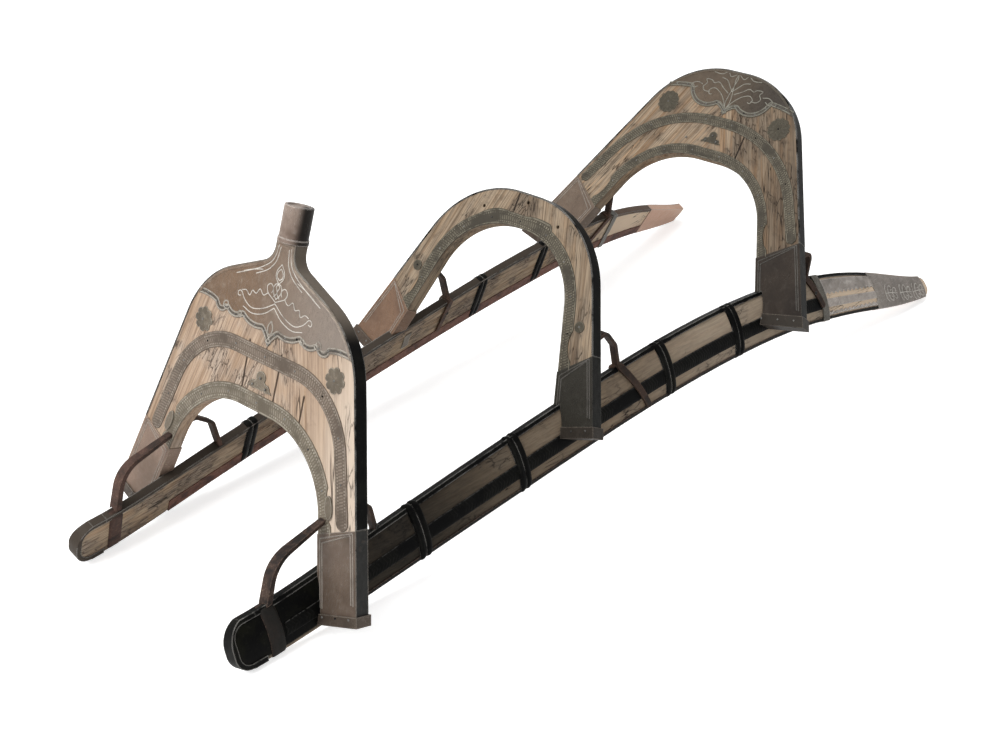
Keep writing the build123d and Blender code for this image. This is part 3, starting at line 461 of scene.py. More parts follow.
frontWoodTone = woodTone(
    (0.4, 0.297, 0.216), (0.335, 0.232, 0.153), (0.37, 0.305, 0.25),
    (0.17, 0.115, 0.08), (0.03, 0.019, 0.013),
)
middleWoodTone = woodTone(
    (0.31, 0.24, 0.168), (0.26, 0.18, 0.112), (0.185, 0.15, 0.115),
    (0.07, 0.05, 0.036), (0.016, 0.011, 0.009),
)
rearWoodTone = woodTone(
    (0.325, 0.25, 0.175), (0.315, 0.195, 0.108), (0.16, 0.13, 0.1),
    (0.058, 0.041, 0.03), (0.014, 0.01, 0.008),
)
railWoodTone = woodTone(
    (0.4, 0.305, 0.21), (0.33, 0.225, 0.14), (0.25, 0.205, 0.165),
    (0.09, 0.064, 0.046), (0.014, 0.01, 0.008),
)
frontWood = weatheredWood(
    "frontWood", frontBoard, frontWoodTone,
    ((0.035, 0.24, 0.34), (-0.03, 0.24, 0.34), (-0.085, 0.22, 0.3)), frontWoodTint,
)
middleWood = weatheredWood("middleWood", middleBoard, middleWoodTone, ((0.019, 0.402, 0.436),))
rearWood = weatheredWood(
    "rearWood", rearBoard, rearWoodTone, ((-0.06, 0.37, 0.44),), rearWoodShadeTint
)
railWood = weatheredWood("railWood", None, railWoodTone, (), railTint)

# Old sheets: name, colours of dark, middle and worn places, metal, roughness, mottling and tint
# The near casings get painted shade over their side faces
frontShadedSide, middleShadedSide, rearShadedSide = (casingShadeTint(board) for board in boards.values())
sheets = {
    "crestBronze": (
        (0.11, 0.071, 0.045), (0.185, 0.117, 0.072), (0.3, 0.25, 0.2), 0.35, 0.34, 1.1, crestSheenTint
    ),
    "rearCrestBronze": (
        (0.056, 0.041, 0.028), (0.106, 0.075, 0.049), (0.15, 0.13, 0.1), 0.25, 0.42, 0.8, rearCrestShadeTint
    ),
    "frontFarBronze": (
        (0.15, 0.105, 0.078), (0.255, 0.175, 0.132), (0.34, 0.27, 0.21), 0.35, 0.42, 0.6, None
    ),
    "middleFarBronze": (
        (0.105, 0.062, 0.04), (0.185, 0.108, 0.066), (0.26, 0.19, 0.14), 0.35, 0.42, 0.6, None
    ),
    "rearFarBronze": ((0.075, 0.052, 0.038), (0.14, 0.1, 0.072), (0.22, 0.18, 0.14), 0.35, 0.42, 0.6, None),
    # The near casings are darker copies of the far ones: painted shade
    "frontNearShadedBronze": (
        (0.09, 0.065, 0.049), (0.165, 0.12, 0.09), (0.27, 0.235, 0.2), 0.3, 0.4, 0.6, frontShadedSide
    ),
    "middleNearShadedBronze": (
        (0.016, 0.014, 0.012), (0.031, 0.028, 0.022), (0.085, 0.08, 0.07), 0.1, 0.5, 0.6, middleShadedSide
    ),
    "rearNearShadedBronze": (
        (0.021, 0.016, 0.013), (0.041, 0.031, 0.024), (0.1, 0.088, 0.076), 0.1, 0.5, 0.6, rearShadedSide
    ),
    # The middle and rear collars, with painted shade on their left side
    "darkCollarBronze": (
        (0.045, 0.033, 0.025), (0.085, 0.062, 0.046), (0.17, 0.145, 0.12), 0.1, 0.46, 0.8, collarShadeTint
    ),
    "collarBronze": ((0.045, 0.033, 0.025), (0.085, 0.062, 0.046), (0.2, 0.17, 0.14), 0.2, 0.42, 0.8, None),
    "hornBronze": ((0.13, 0.09, 0.07), (0.33, 0.258, 0.214), (0.5, 0.45, 0.41), 0.1, 0.3, 0.5, ferruleShadeTint),
    "sheathBronze": (
        (0.125, 0.108, 0.094), (0.265, 0.232, 0.204), (0.46, 0.43, 0.39), 0.35, 0.36, 1.2, sheathTint
    ),
    "greySheet": ((0.18, 0.16, 0.142), (0.44, 0.39, 0.35), (0.66, 0.62, 0.58), 0.3, 0.38, 1.4, None),
    "strapSheet": ((0.06, 0.055, 0.045), (0.13, 0.12, 0.1), (0.26, 0.25, 0.22), 0.3, 0.4, 1.0, None),
    "brass": ((0.095, 0.077, 0.056), (0.175, 0.143, 0.105), (0.33, 0.3, 0.245), 0.35, 0.42, 0.8, None),
    "darkBrass": ((0.026, 0.022, 0.014), (0.058, 0.049, 0.033), (0.15, 0.135, 0.1), 0.3, 0.44, 0.8, None),
    "scored": ((0.21, 0.185, 0.155), (0.54, 0.5, 0.44), (0.7, 0.67, 0.62), 0.2, 0.5, 1.4, None),
    "darkScored": ((0.1, 0.09, 0.07), (0.25, 0.24, 0.195), (0.36, 0.35, 0.3), 0.2, 0.5, 1.4, None),
    "bordered": ((0.11, 0.088, 0.068), (0.27, 0.235, 0.195), (0.42, 0.39, 0.34), 0.3, 0.42, 1.4, None),
    "darkBordered": (
        (0.055, 0.048, 0.036), (0.145, 0.135, 0.105), (0.26, 0.25, 0.205), 0.3, 0.44, 1.4, None
    ),
    "faint": ((0.075, 0.061, 0.05), (0.215, 0.18, 0.148), (0.36, 0.32, 0.28), 0.3, 0.45, 1.2, None),
    # A darker copy of faint for the near casing lines of the middle and rear boards: painted shade
    "darkFaint": ((0.018, 0.016, 0.014), (0.06, 0.055, 0.047), (0.13, 0.122, 0.11), 0.1, 0.5, 1.2, None),
}
dulled = 0.8  # how much of its brightness old sheet keeps
sheet = {}
for name, (dark, mid, worn, metal, shine, mottling, tint) in sheets.items():
    tone = metalTone(Vector(dark) * dulled, Vector(mid) * dulled, worn)
    gloss = 0.25 if metal > 0.15 else 0.1
    sheet[name] = agedSheet(name, tone, metal, shine, mottling, tint, gloss)
brassTone = metalTone((0.09, 0.074, 0.053), (0.165, 0.137, 0.101), (0.34, 0.31, 0.255))
brownBrassTone = metalTone((0.078, 0.059, 0.044), (0.142, 0.108, 0.082), (0.29, 0.25, 0.205))
darkBrassTone = metalTone((0.029, 0.024, 0.016), (0.064, 0.054, 0.037), (0.2, 0.18, 0.135))
ironTone = metalTone((0.002, 0.002, 0.002), (0.006, 0.006, 0.005), (0.026, 0.025, 0.023), (0.3, 0.29, 0.27))
tipTone = metalTone((0.002, 0.002, 0.002), (0.006, 0.006, 0.004), (0.022, 0.021, 0.017), (0.1, 0.095, 0.08))
rustTone = metalTone((0.022, 0.015, 0.012), (0.06, 0.033, 0.025), (0.16, 0.1, 0.074))
# A darker copy of the rust for the near front bow: painted shade over rust
nearShadedRustTone = metalTone((0.012, 0.009, 0.008), (0.045, 0.028, 0.021), (0.21, 0.145, 0.11))
braceTone = metalTone((0.03, 0.02, 0.016), (0.075, 0.042, 0.03), (0.18, 0.115, 0.08))
lowerTone = metalTone((0.06, 0.03, 0.024), (0.15, 0.07, 0.05), (0.26, 0.17, 0.13))
iron = blackIron("iron", ironTone)
frontRimIron = blackIron("frontRimIron", ironTone, rimTint)
tipIron = blackIron("tipIron", tipTone)
rust = rustyIron("rust", rustTone)
nearRust = rustyIron("nearRust", nearShadedRustTone)
railRimIron = blackIron("railRimIron", ironTone, railRimTint)
# Painted shade: black over the outer faces of the bow straps, braces and lower strips
strapRust = rustyIron("strapRust", rustTone, outerSide, 0.9)
braceRust = rustyIron("braceRust", braceTone, outerSide, 0.5)
lowerRust = rustyIron("lowerRust", lowerTone, outerSide)
print("materials", len(bpy.data.materials))

# Every CAD node takes the finish of the first word here that its name holds
finishes = {
    "rail_leaf": sheet["brass"],
    "tail_plates": sheet["greySheet"],
    "tail_sheath": sheet["sheathBronze"],
    "rear_strap": sheet["strapSheet"],
    "bow_strap": strapRust,
    "bow_leaf": sheet["brass"],
    "edge_strip": railRimIron,
    "face_strip": iron,
    "lower_strip": lowerRust,
    "front_edge_binding": frontRimIron,
    "edge_binding": iron,
    "binding": iron,
    "rail": railWood,
    "front_casing_right": sheet["frontFarBronze"],
    "middle_casing_right": sheet["middleFarBronze"],
    "rear_casing_right": sheet["rearFarBronze"],
    "front_casing_left": sheet["frontNearShadedBronze"],
    "middle_casing_left": sheet["middleNearShadedBronze"],
    "rear_casing_left": sheet["rearNearShadedBronze"],
    "front_collars": sheet["collarBronze"],
    "collar": sheet["darkCollarBronze"],
    "front_crest_plate": sheet["crestBronze"],
    "rear_crest_plate": sheet["rearCrestBronze"],
    "ferrule": sheet["hornBronze"],
    "front_rosettes": sheet["brass"],
    "front_trefoil": sheet["brass"],
    "rosettes": sheet["darkBrass"],
    "trefoil": sheet["darkBrass"],
    "discs": sheet["darkBrass"],
    "band": sheet["brass"],
    "dowels": railWood,
    "braces": braceRust,
    "front_bow_left": nearRust,
    "bow": rust,
    "front": frontWood,
    "middle": middleWood,
    "rear": rearWood,
}
for name, node in nodes.items():
    material = next(finish for word, finish in finishes.items() if word in name)
    if not node.material_slots:
        node.data.materials.append(material)
    for slot in node.material_slots:
        slot.material = material


# A place on a leaning board: across it, up it and out of its front face
def boardPoint(board, across, height, rise=0.0):
    lean = math.radians(board["lean"])
    x = board["foot"] + height * math.sin(lean) - rise * math.cos(lean)
    return Vector((x, across, height * math.cos(lean) + rise * math.sin(lean)))


def outOf(board):
    lean = math.radians(board["lean"])
    return Vector((-math.cos(lean), 0.0, math.sin(lean)))


def halfWidth(edge, height, grow=0.0):
    grown = edge["across"] + grow * math.hypot(1.0, edge["slope"])
    return grown - edge["slope"] * (height - edge["height"])


# Points at even steps along straight lines whose inner corners are rounded
def roundedPath(corners, radius, step):
    corners = [Vector(corner) for corner in corners]
    points = [corners[0]]
    for before, corner, after in zip(corners, corners[1:], corners[2:]):
        into = (corner - before).normalized()
        away = (after - corner).normalized()
        turn = into.angle(away)
        reach = radius * math.tan(turn / 2)
        sign = 1.0 if into.x * away.y - into.y * away.x > 0 else -1.0
        side = Vector((-into.y, into.x)) * sign
        centre = corner - into * reach + side * radius
        count = max(2, math.ceil(radius * turn / step))
        for index in range(count + 1):
            angle = turn * index / count
            points.append(centre + (into * math.sin(angle) - side * math.cos(angle)) * radius)
    points.append(corners[-1])
    return evenSteps(points, step)


def evenSteps(points, step):
    lengths = [0.0]
    for start, end in zip(points, points[1:]):
        lengths.append(lengths[-1] + (end - start).length)
    count = max(2, round(lengths[-1] / step))
    even = []
    index = 0
    for number in range(count + 1):
        target = lengths[-1] * number / count
        while index < len(points) - 2 and lengths[index + 1] < target:
            index += 1
        span = lengths[index + 1] - lengths[index]
        share = (target - lengths[index]) / span if span else 0.0
        even.append(points[index].lerp(points[index + 1], min(1.0, share)))
    return even


# A smooth line through a few places
def smoothLine(places, step):
    places = [Vector(place) for place in places]
    spread = [places[0] * 2 - places[1]] + places + [places[-1] * 2 - places[-2]]
    points = []
    for before, start, end, after in zip(spread, spread[1:], spread[2:], spread[3:]):
        for index in range(12):
            t = index / 12
            bend = (after - start) * (t ** 3 - t ** 2) + (end - before) * (t ** 3 - 2 * t ** 2 + t)
            onward = end * (3 * t ** 2 - 2 * t ** 3)
            points.append(start * (2 * t ** 3 - 3 * t ** 2 + 1) + onward + bend / 2)
    points.append(places[-1])
    return evenSteps(points, step)


def headings(points):
    ahead = points[1:] + [points[-1] * 2 - points[-2]]
    behind = [points[0] * 2 - points[1]] + points[:-1]
    return [(after - before).normalized() for before, after in zip(behind, ahead)]


# Extrudes a closed row of places through the rows that follow it
def sweep(work, rows, capped=True):
    row = [work.verts.new(place) for place in rows[0]]
    edges = [work.edges.new(pair) for pair in zip(row, row[1:] + row[:1])]
    grid = [row]
    ends = [edges]
    for places in rows[1:]:
        made = set(bmesh.ops.extrude_edge_only(work, edges=edges)["geom"])
        follow = []
        for vertex in row:
            others = [edge.other_vert(vertex) for edge in vertex.link_edges]
            follow += [other for other in others if other in made]
        row = follow
        for vertex, place in zip(row, places):
            vertex.co = place
        edges = [work.edges.get(pair) for pair in zip(row, row[1:] + row[:1])]
        grid.append(row)
    ends.append(edges)
    if capped:
        for edges in ends:
            bmesh.ops.holes_fill(work, edges=edges)
    return grid


def placePiece(name, work, material, slot, replaced=None, sharp=40.0):
    bmesh.ops.recalc_face_normals(work, faces=work.faces)
    for face in work.faces:
        face.smooth = True
    mesh = bpy.data.meshes.new(name)
    work.to_mesh(mesh)
    work.free()
    mesh.set_sharp_from_angle(angle=math.radians(sharp))
    mesh.materials.append(material)
    piece = bpy.data.objects.new(name, mesh)
    bpy.context.scene.collection.objects.link(piece)
    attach(piece, "root")
    if replaced:
        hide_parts(replaced)


# Writes the run along a piece and the place across it to its pattern map
def markPattern(work, grid, marks):
    layer = work.loops.layers.uv.new("pattern")
    places = {}
    for row, rowMarks in zip(grid, marks):
        places.update(zip(row, rowMarks))
    for face in work.faces:
        for loop in face.loops:
            loop[layer].uv = places[loop.vert]


# Punched bands on the boards, each a channel section swept along its path: share of width, rise
bandSection = (
    (-1.0, -0.2),
    (-0.99, 0.9),
    (-0.84, 1.5),
    (-0.7, 0.8),
    (-0.35, 1.0),
    (0.0, 1.05),
    (0.35, 1.0),
    (0.7, 0.8),
    (0.84, 1.5),
    (0.99, 0.9),
    (1.0, -0.2),
)


def bandPiece(name, replaced, board, path, halfBand, material, bulge):
    rows = []
    marks = []
    run = 0.0
    total = sum((end - start).length for start, end in zip(path, path[1:]))
    before = path[0]
    for point, heading in zip(path, headings(path)):
        run += (point - before).length
        before = point
        side = Vector((heading.y, -heading.x))
        narrow = 1.0
        if not bulge:
            near = min(run, total - run) / halfBand
            narrow = max(0.06, math.sqrt(max(0.0, 1.0 - (1.0 - min(1.0, near)) ** 2)))
        row = []
        for share, rise in bandSection:
            reach = share * halfBand * narrow
            if bulge and share < 0:
                reach += bulge(point, run, total) * mm * share
            place = point + side * reach
            row.append(boardPoint(board, place.x, place.y, rise * mm))
        rows.append(row)
        marks.append([(run, share * halfBand) for share, rise in bandSection])
    work = bmesh.new()
    markPattern(work, sweep(work, rows), marks)
    placePiece(name, work, material, "brass_band", replaced, 60.0)


def archPath(edge, low, step, grow=0.0):
    crown = edge["crown"] + grow
    foot = halfWidth(edge, low, grow)
    shoulder = halfWidth(edge, crown, grow)
    corners = ((-foot, low), (-shoulder, crown), (shoulder, crown), (foot, low))
    return roundedPath(corners, edge["radius"] + grow, step)


# Swellings of an inner band's outer edge, in millimetres from its ends or from the middle
notch = {"start": 14.0, "length": 46.0, "height": -7.0}
lowLeaf = {"start": 22.0, "length": 58.0, "height": 4.0}
tallLeaf = {"start": 10.0, "length": 50.0, "height": 8.0, "tip": 0.86}


def hump(swelling, distance):
    share = min(1.0, max(0.0, (distance - swelling["start"]) / swelling["length"]))
    return max(0.0, math.sin(math.pi * share))


# A notch above each casing
def notchedEnds(point, run, total):
    return notch["height"] * hump(notch, min(run, total - run) / mm) ** 0.6


# The middle band also swells into a low leaf on one side of the crown and a pointed one opposite
def leafyCrown(point, run, total):
    across = point.x / mm
    low = lowLeaf["height"] * hump(lowLeaf, across)
    tall = min(1.0, max(0.0, (-across - tallLeaf["start"]) / tallLeaf["length"]))
    tall = tall ** 0.7 * (1.0 - max(0.0, (tall - tallLeaf["tip"]) / (1.0 - tallLeaf["tip"])))
    return notchedEnds(point, run, total) + low + tallLeaf["height"] * tall


# The lines of the outer bands, as half widths that shrink with height
frontOuterLine = {"across": 0.144, "height": 0.324, "slope": 0.32, "crown": 0.324, "radius": 0.112}
rearOuterLine = {"across": 0.135, "height": 0.453, "slope": 0.545, "crown": 0.453, "radius": 0.2}
bandStep = 3.0 * mm

# Bands: node, board, line, height of the ends, growth and half width in millimetres, swelling, tone
bands = {
    "frontOuterBand": (
        "front_outer_band", frontBoard, frontOuterLine, 0.153, 0.0, 11.0, None, brownBrassTone
    ),
    "frontInnerBand": ("front_inner_band", frontBoard, None, 0.136, 12.0, 12.0, notchedEnds, brassTone),
    "middleInnerBand": (
        "middle_inner_band", middleBoard, None, 0.201, 10.5, 10.5, leafyCrown, darkBrassTone
    ),
    "rearOuterBand": ("rear_outer_band", rearBoard, rearOuterLine, 0.2805, 0.0, 9.5, None, darkBrassTone),
    "rearInnerBand": ("rear_inner_band", rearBoard, None, 0.243, 9.25, 9.25, notchedEnds, darkBrassTone),
}
bandPaths = {}
for name, (replaced, board, line, low, grow, halfBand, bulge, tone) in bands.items():
    halfBand = halfBand * mm
    material = punchedBrass(name + "Brass", tone, halfBand)
    path = archPath(line or board["opening"], low, bandStep, grow * mm)
    bandPaths[name] = board, path
    bandPiece(name, replaced, board, path, halfBand, material, bulge)
print("bands made")


def treeOf(name):
    work = bmesh.new()
    work.from_mesh(nodes[name].data)
    tree = BVHTree.FromBMesh(work)
    work.free()
    return tree


# What a straight look from one side meets on a CAD node: the place and the way it faces
def lookAt(tree, side, x, z, start=1.0):
    return tree.ray_cast(Vector((x, side * start, z)), Vector((0.0, -side, 0.0)))[:2]


# The lowest and the highest place seen at one x, found by halving
def seenHeights(tree, side, x, low, high):
    step = 1.5 * mm
    heights = [low + step * index for index in range(int((high - low) / step) + 1)]
    seen = [height for height in heights if lookAt(tree, side, x, height)[0]]
    ends = []
    for inside, outside in ((seen[0], seen[0] - step), (seen[-1], seen[-1] + step)):
        for halving in range(8):
            middle = (inside + outside) / 2
            if lookAt(tree, side, x, middle)[0]:
                inside = middle
            else:
                outside = middle
        ends.append(inside)
    return ends


# A sheet laid on the outside of a rail or its strip: ends along it, rise above it and depth into it
faceStrip = {"start": -1.0, "end": 1.0, "rise": 0.1 * mm, "depth": 2.2 * mm}
tipSheet = {"start": -0.799, "end": -0.64, "rise": 0.6 * mm, "depth": 0.4 * mm}


def railSheet(name, node, side, cut, material, replaced=None):
    tree = treeOf(node)
    low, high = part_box(node)
    start = max(cut["start"], low.x + 1.0 * mm)
    end = min(cut["end"], high.x - 1.0 * mm)
    count = round((end - start) / (6.0 * mm))
    shares = [step / 8 for step in range(9)]
    rows = []
    marks = []
    for index in range(count + 1):
        x = start + (end - start) * index / count
        ends = seenHeights(tree, side, x, low.z, high.z)
        seen = [lookAt(tree, side, x, ends[0] + (ends[1] - ends[0]) * share) for share in shares]
        front = [place + facing * cut["rise"] for place, facing in seen]
        back = [place - facing * cut["depth"] for place, facing in seen]
        rows.append(front + back[::-1])
        across = [(x, 2.0 * share - 1.0) for share in shares]
        marks.append(across + across[::-1])
    work = bmesh.new()
    markPattern(work, sweep(work, rows), marks)
    placePiece(name, work, material, "black_iron", replaced)


chevrons = chevronIron("chevrons", ironTone)
for hand, side in sides.items():
    strip = "face_strip_" + hand
    railSheet(hand + "FaceStrip", strip, side, faceStrip, chevrons, strip)
    railSheet(hand + "TipSheet", "rail_" + hand, side, tipSheet, tipIron)
print("rail sheets made")


# Rings round the rails: the line of a CAD ring is felt from outside and given a rounded section
ring = {"points": 56, "reach": 0.12, "half": 0.0115}


def railCentre(tree, side, x, low, high):
    ends = seenHeights(tree, side, x, low, high)
    z = (ends[0] + ends[1]) / 2
    outer = lookAt(tree, side, x, z)[0].y
    inner = lookAt(tree, -side, x, z, 0.0)[0].y
    return Vector((x, (outer + inner) / 2, z))


# Each place of a closed line with the one before it and the one after
def neighbours(places):
    return zip(places[-1:] + places[:-1], places, places[1:] + places[:1])


def railRing(work, hand, side, node, station, section, thick):
    rail = treeOf("rail_" + hand)
    low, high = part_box("rail_" + hand)
    centre = railCentre(rail, side, station, low.z, high.z)
    ahead = railCentre(rail, side, station + 0.01, low.z, high.z)
    onward = (ahead - centre).normalized()
    tree = treeOf(node)
    places = []
    for index in range(ring["points"]):
        turn = 2.0 * math.pi * index / ring["points"]
        out = Vector((0.0, math.cos(turn), math.sin(turn)))
        places.append(tree.ray_cast(centre + out * ring["reach"], -out)[0])
    for smoothing in range(2):
        places = [(before + place * 2 + after) / 4 for before, place, after in neighbours(places)]
    rows = []
    for before, place, after in neighbours(places):
        way = (after - before).normalized()
        out = Vector((0.0, way.z, -way.y))
        reach = onward * ring["half"]
        rows.append([place + reach * share - out * (1.0 - lift) * thick for share, lift in section])
    sweep(work, rows + rows[:1], False)
    bmesh.ops.remove_doubles(work, verts=work.verts, dist=0.01 * mm)


# Two cords side by side, and one flat strap with rounded edges: share of half width, lift
cordShares = [index / 8 - 1.0 for index in range(17)]
ringBack = [(1.0, -0.15), (-1.0, -0.15)]
twinCords = [(share, max(1.0 - (2.0 * abs(share) - 1.0) ** 2, 0.0) ** 0.5) for share in cordShares]
twinCords = [(share, max(lift, 0.45) if abs(share) < 0.5 else lift) for share, lift in twinCords] + ringBack
flatStrap = [(share, min(1.0, (1.0 - abs(share)) * 3.0) ** 0.5) for share in cordShares] + ringBack
railRings = {
    "Bindings": ("binding_bands_", (-0.481, -0.28, 0.058, 0.238), twinCords, 0.004, iron, "black_iron"),
    "BowStrap": ("bow_strap_", (-0.736,), flatStrap, 0.0026, strapRust, "rusty_iron"),
}
for hand, side in sides.items():
    for name, (node, stations, section, thick, material, slot) in railRings.items():
        work = bmesh.new()
        for station in stations:
            railRing(work, hand, side, node + hand, station, section, thick)
        placePiece(hand + name, work, material, slot, node + hand)
print("rings made")


# Lobed flowers cut from sheet: rings from the rim inwards, as share of the radius and rise
rosetteRings = (
    (1.0, -0.2), (1.0, 1.0), (0.9, 1.5), (0.62, 1.0), (0.4, 1.5), (0.3, 1.2), (0.22, 2.2), (0.08, 2.5)
)
rosettes = {
    "front": {"across": 134.0, "height": 336.0, "radius": 18.0, "lobes": 8, "depth": 0.24, "teeth": 0.03},
    "rear": {"across": 118.0, "height": 467.0, "radius": 21.5, "lobes": 12, "depth": 0.12, "teeth": 0.09},
}
for name, flower in rosettes.items():
    work = bmesh.new()
    count = flower["lobes"] * 12
    for hand in (-1, 1):
        rows = []
        for share, rise in rosetteRings:
            row = []
            for index in range(count):
                turn = 2.0 * math.pi * index / count
                lobe = abs(math.cos(turn * flower["lobes"] / 2))
                cut = flower["depth"] * (1.0 - lobe ** 0.5) + flower["teeth"] * (index % 4 == 0)
                reach = flower["radius"] * share * (1.0 - cut * min(1.0, share * 1.2))
                fall = 0.45 * (1.0 - lobe) if 0.3 < share < 0.95 else 0.0
                across = hand * flower["across"] + reach * math.sin(turn)
                height = flower["height"] + reach * math.cos(turn)
                places = (across * mm, height * mm, (rise - fall) * mm)
                row.append(boardPoint(boards[name], *places))
            rows.append(row)
        sweep(work, rows)
    finish = sheet["brass"] if name == "front" else sheet["darkBrass"]
    placePiece(name + "Flowers", work, finish, "brass_band", name + "_rosettes", 50.0)
print("rosettes made")


def mirrored(lines):
    return lines + [[(-across, height) for across, height in line] for line in lines]


# A section swept along a flat line; settle puts a flat place and its lift on the surface
def ridge(work, points, halfRidge, section, settle):
    rows = []
    for point, heading in zip(points, headings(points)):
        side = Vector((heading.y, -heading.x)) * halfRidge
        rows.append([settle(point + side * share, lift * mm) for share, lift in section])
    sweep(work, rows)


# Low rounded ridges along lines on a board, each line in millimetres
def engraving(name, board, lines, width, material, lift=0.28, rise=1.0):
    work = bmesh.new()
    section = ((-1.0, -0.3), (-0.85, lift / 2), (-0.4, lift), (0.4, lift), (0.85, lift / 2), (1.0, -0.3))

    def settle(spot, lifted):
        return boardPoint(board, spot.x, spot.y, rise * mm + lifted)

    for line in lines:
        line = [(across * mm, height * mm) for across, height in line]
        ridge(work, smoothLine(line, 1.5 * mm), width * mm / 2, section, settle)
    placePiece(name, work, material, "bronze_sheet", None, 70.0)


frontScrolls = mirrored([
    [(0, 398), (20, 386), (42, 380), (58, 386), (68, 396), (74, 394), (73, 389), (68, 390)],
    [(67, 398), (59, 400), (51, 395), (47, 403), (39, 401), (33, 409), (25, 403), (17, 408)],
    [(0, 400), (8, 404), (17, 409), (20, 417), (14, 422), (8, 417), (10, 410)],
    [(0, 404), (-6, 411), (-8, 419), (-3, 425), (3, 421), (0, 413), (6, 406)],
    [(0, 452), (7, 442), (7, 433), (0, 425)],
    [(0, 446), (5, 440), (5, 434), (0, 430)],
    [(12, 476), (17, 456), (30, 443), (54, 430), (84, 417)],
    [(8, 474), (12, 454), (24, 439), (46, 427)],
    [(34, 436), (52, 431), (70, 424)],
    [(0, 392), (18, 379), (40, 373), (60, 377)],
])
rearScrolls = mirrored([
    [(0, 478), (4, 490), (3, 506), (0, 522), (2, 536), (0, 545)],
    [(2, 480), (9, 493), (22, 506), (37, 512), (46, 506), (43, 499), (38, 500)],
    [
        (44, 503), (55, 503), (61, 510), (56, 518), (60, 525),
        (48, 525), (42, 521), (32, 524), (20, 516), (6, 508),
    ],
    [(3, 545), (14, 539), (22, 546), (34, 540), (50, 541)],
    [(0, 512), (9, 522), (18, 531), (30, 534)],
    [(64, 514), (76, 516), (86, 510), (80, 504), (72, 508)],
    [(2, 478), (12, 486), (20, 488)],
])
engraving("frontScrolls", frontBoard, frontScrolls, 1.4, sheet["scored"])
engraving("rearScrolls", rearBoard, rearScrolls, 1.5, sheet["darkScored"])


# The lower and the upper edge of a crest plate's front face, each from side to side
def plateEdges(node, board):
    lean = math.radians(board["lean"])
    out = outOf(board)
    work = bmesh.new()
    work.from_mesh(nodes[node].data)
    bmesh.ops.remove_doubles(work, verts=work.verts, dist=0.01 * mm)
    front = {face for face in work.faces if face.normal.dot(out) > 0.99}
    level = max(face.calc_center_median().dot(out) for face in front)
    front = {face for face in front if face.calc_center_median().dot(out) > level - 0.2 * mm}
    edges = {edge for face in front for edge in face.edges if len(front.intersection(edge.link_faces)) == 1}
    links = {}
    for edge in edges:
        for vertex in edge.verts:
            links.setdefault(vertex, []).append(edge)
    start = min(links, key=lambda vertex: vertex.co.y)
    chains = []
    for edge in links[start]:
        chain = [start]
        while len(chain) < 3 or chain[-1] is not start:
            vertex = edge.other_vert(chain[-1])
            chain.append(vertex)
            following = [other for other in links[vertex] if other is not edge]
            if not following:
                break
            edge = following[0]
        far = max(range(len(chain)), key=lambda index: chain[index].co.y)
        chains.append(chain[: far + 1])
    chains.sort(key=lambda chain: sum(vertex.co.z for vertex in chain) / len(chain))
    found = []
    for chain in chains:
        places = []
        for vertex in chain:
            height = (vertex.co.x - board["foot"]) * math.sin(lean) + vertex.co.z * math.cos(lean)
            places.append(Vector((vertex.co.y, height)))
        found.append(places)
    work.free()
    return found


def insetLine(places, inset):
    even = evenSteps(places, 2.5 * mm)
    moved = []
    for point, heading in zip(even, headings(even)):
        moved.append(point + Vector((-heading.y, heading.x)) * inset * mm)
    return moved


def inMillimetres(points):
    return [(point.x / mm, point.y / mm) for point in points]


# Crest plates: two ridges with a groove between above the cut lower edge, and a rolled rim under the
# upper one, each with its inset, width, finish and lift
groovedTone = metalTone((0.02, 0.016, 0.012), (0.05, 0.04, 0.03), (0.1, 0.09, 0.07))
grooved = agedSheet("grooved", groovedTone, 0.1, 0.5)
crests = {
    "front": (frontBoard, sheet["bordered"], sheet["crestBronze"]),
    "rear": (rearBoard, sheet["darkBordered"], sheet["rearCrestBronze"]),
}
crestEdges = {}
for name, (board, ridges, plain) in crests.items():
    lower, upper = plateEdges(name + "_crest_plate", board)
    crestEdges[name] = lower
    borders = {
        "Border": (lower, 1.9, 2.6, ridges, 0.55),
        "BorderInner": (lower, 7.6, 2.4, ridges, 0.5),
        "Groove": (lower, 4.7, 3.0, grooved, 0.05),
        "Rim": (upper, -2.4, 3.6, plain, 0.8),
    }
    for part, (edge, inset, width, finish, lift) in borders.items():
        line = inMillimetres(insetLine(edge, inset))[2:-2]
        engraving(name + part, board, [line], width, finish, lift)

# Curls where the front border turns, and a drop over its point, in millimetres and degrees
curl = {"points": 15, "start": 200.0, "turn": 33.0, "reach": 7.4, "fall": 0.36}


def curlLine(across, height, size):
    line = []
    for index in range(curl["points"]):
        turn = math.radians(curl["start"] + curl["turn"] * index)
        reach = (curl["reach"] - curl["fall"] * index) * size
        line.append((across + reach * math.cos(turn), height + reach * math.sin(turn)))
    return line


curls = mirrored([curlLine(93.0, 370.0, 1.0), curlLine(63.0, 366.0, 0.7)])
drop = [(0, 374), (4.5, 366), (4.0, 359), (0, 355), (-4.0, 359), (-4.5, 366), (0, 374)]
engraving("frontCurls", frontBoard, curls + [drop], 2.3, sheet["bordered"], 0.85)

# A rolled lip round the front of each board's black rim, its edges brightened by a painted highlight
lipTone = metalTone((0.01, 0.01, 0.009), (0.06, 0.057, 0.052), (0.2, 0.19, 0.175), (0.46, 0.45, 0.43))
lip = {"inset": -1.3, "width": 2.8, "lift": 0.9, "rise": 0.0}
lipIron = blackIron("lipIron", lipTone)
for name, board in boards.items():
    outline = plateEdges(name + "_edge_binding", board)[1]
    line = inMillimetres(insetLine(outline, lip["inset"]))
    engraving(name + "Lip", board, [line], lip["width"], lipIron, lip["lift"], lip["rise"])
print("engraving made")


# A half width at a height, both in millimetres
def halfAt(edge, height):
    return halfWidth(edge, height * mm) / mm


# Ridges down each casing, beside its edges and under its top, in millimetres
casing = {"insets": (4.5, 8.5), "inner": 22.0, "outer": 24.0, "rise": 1.2}


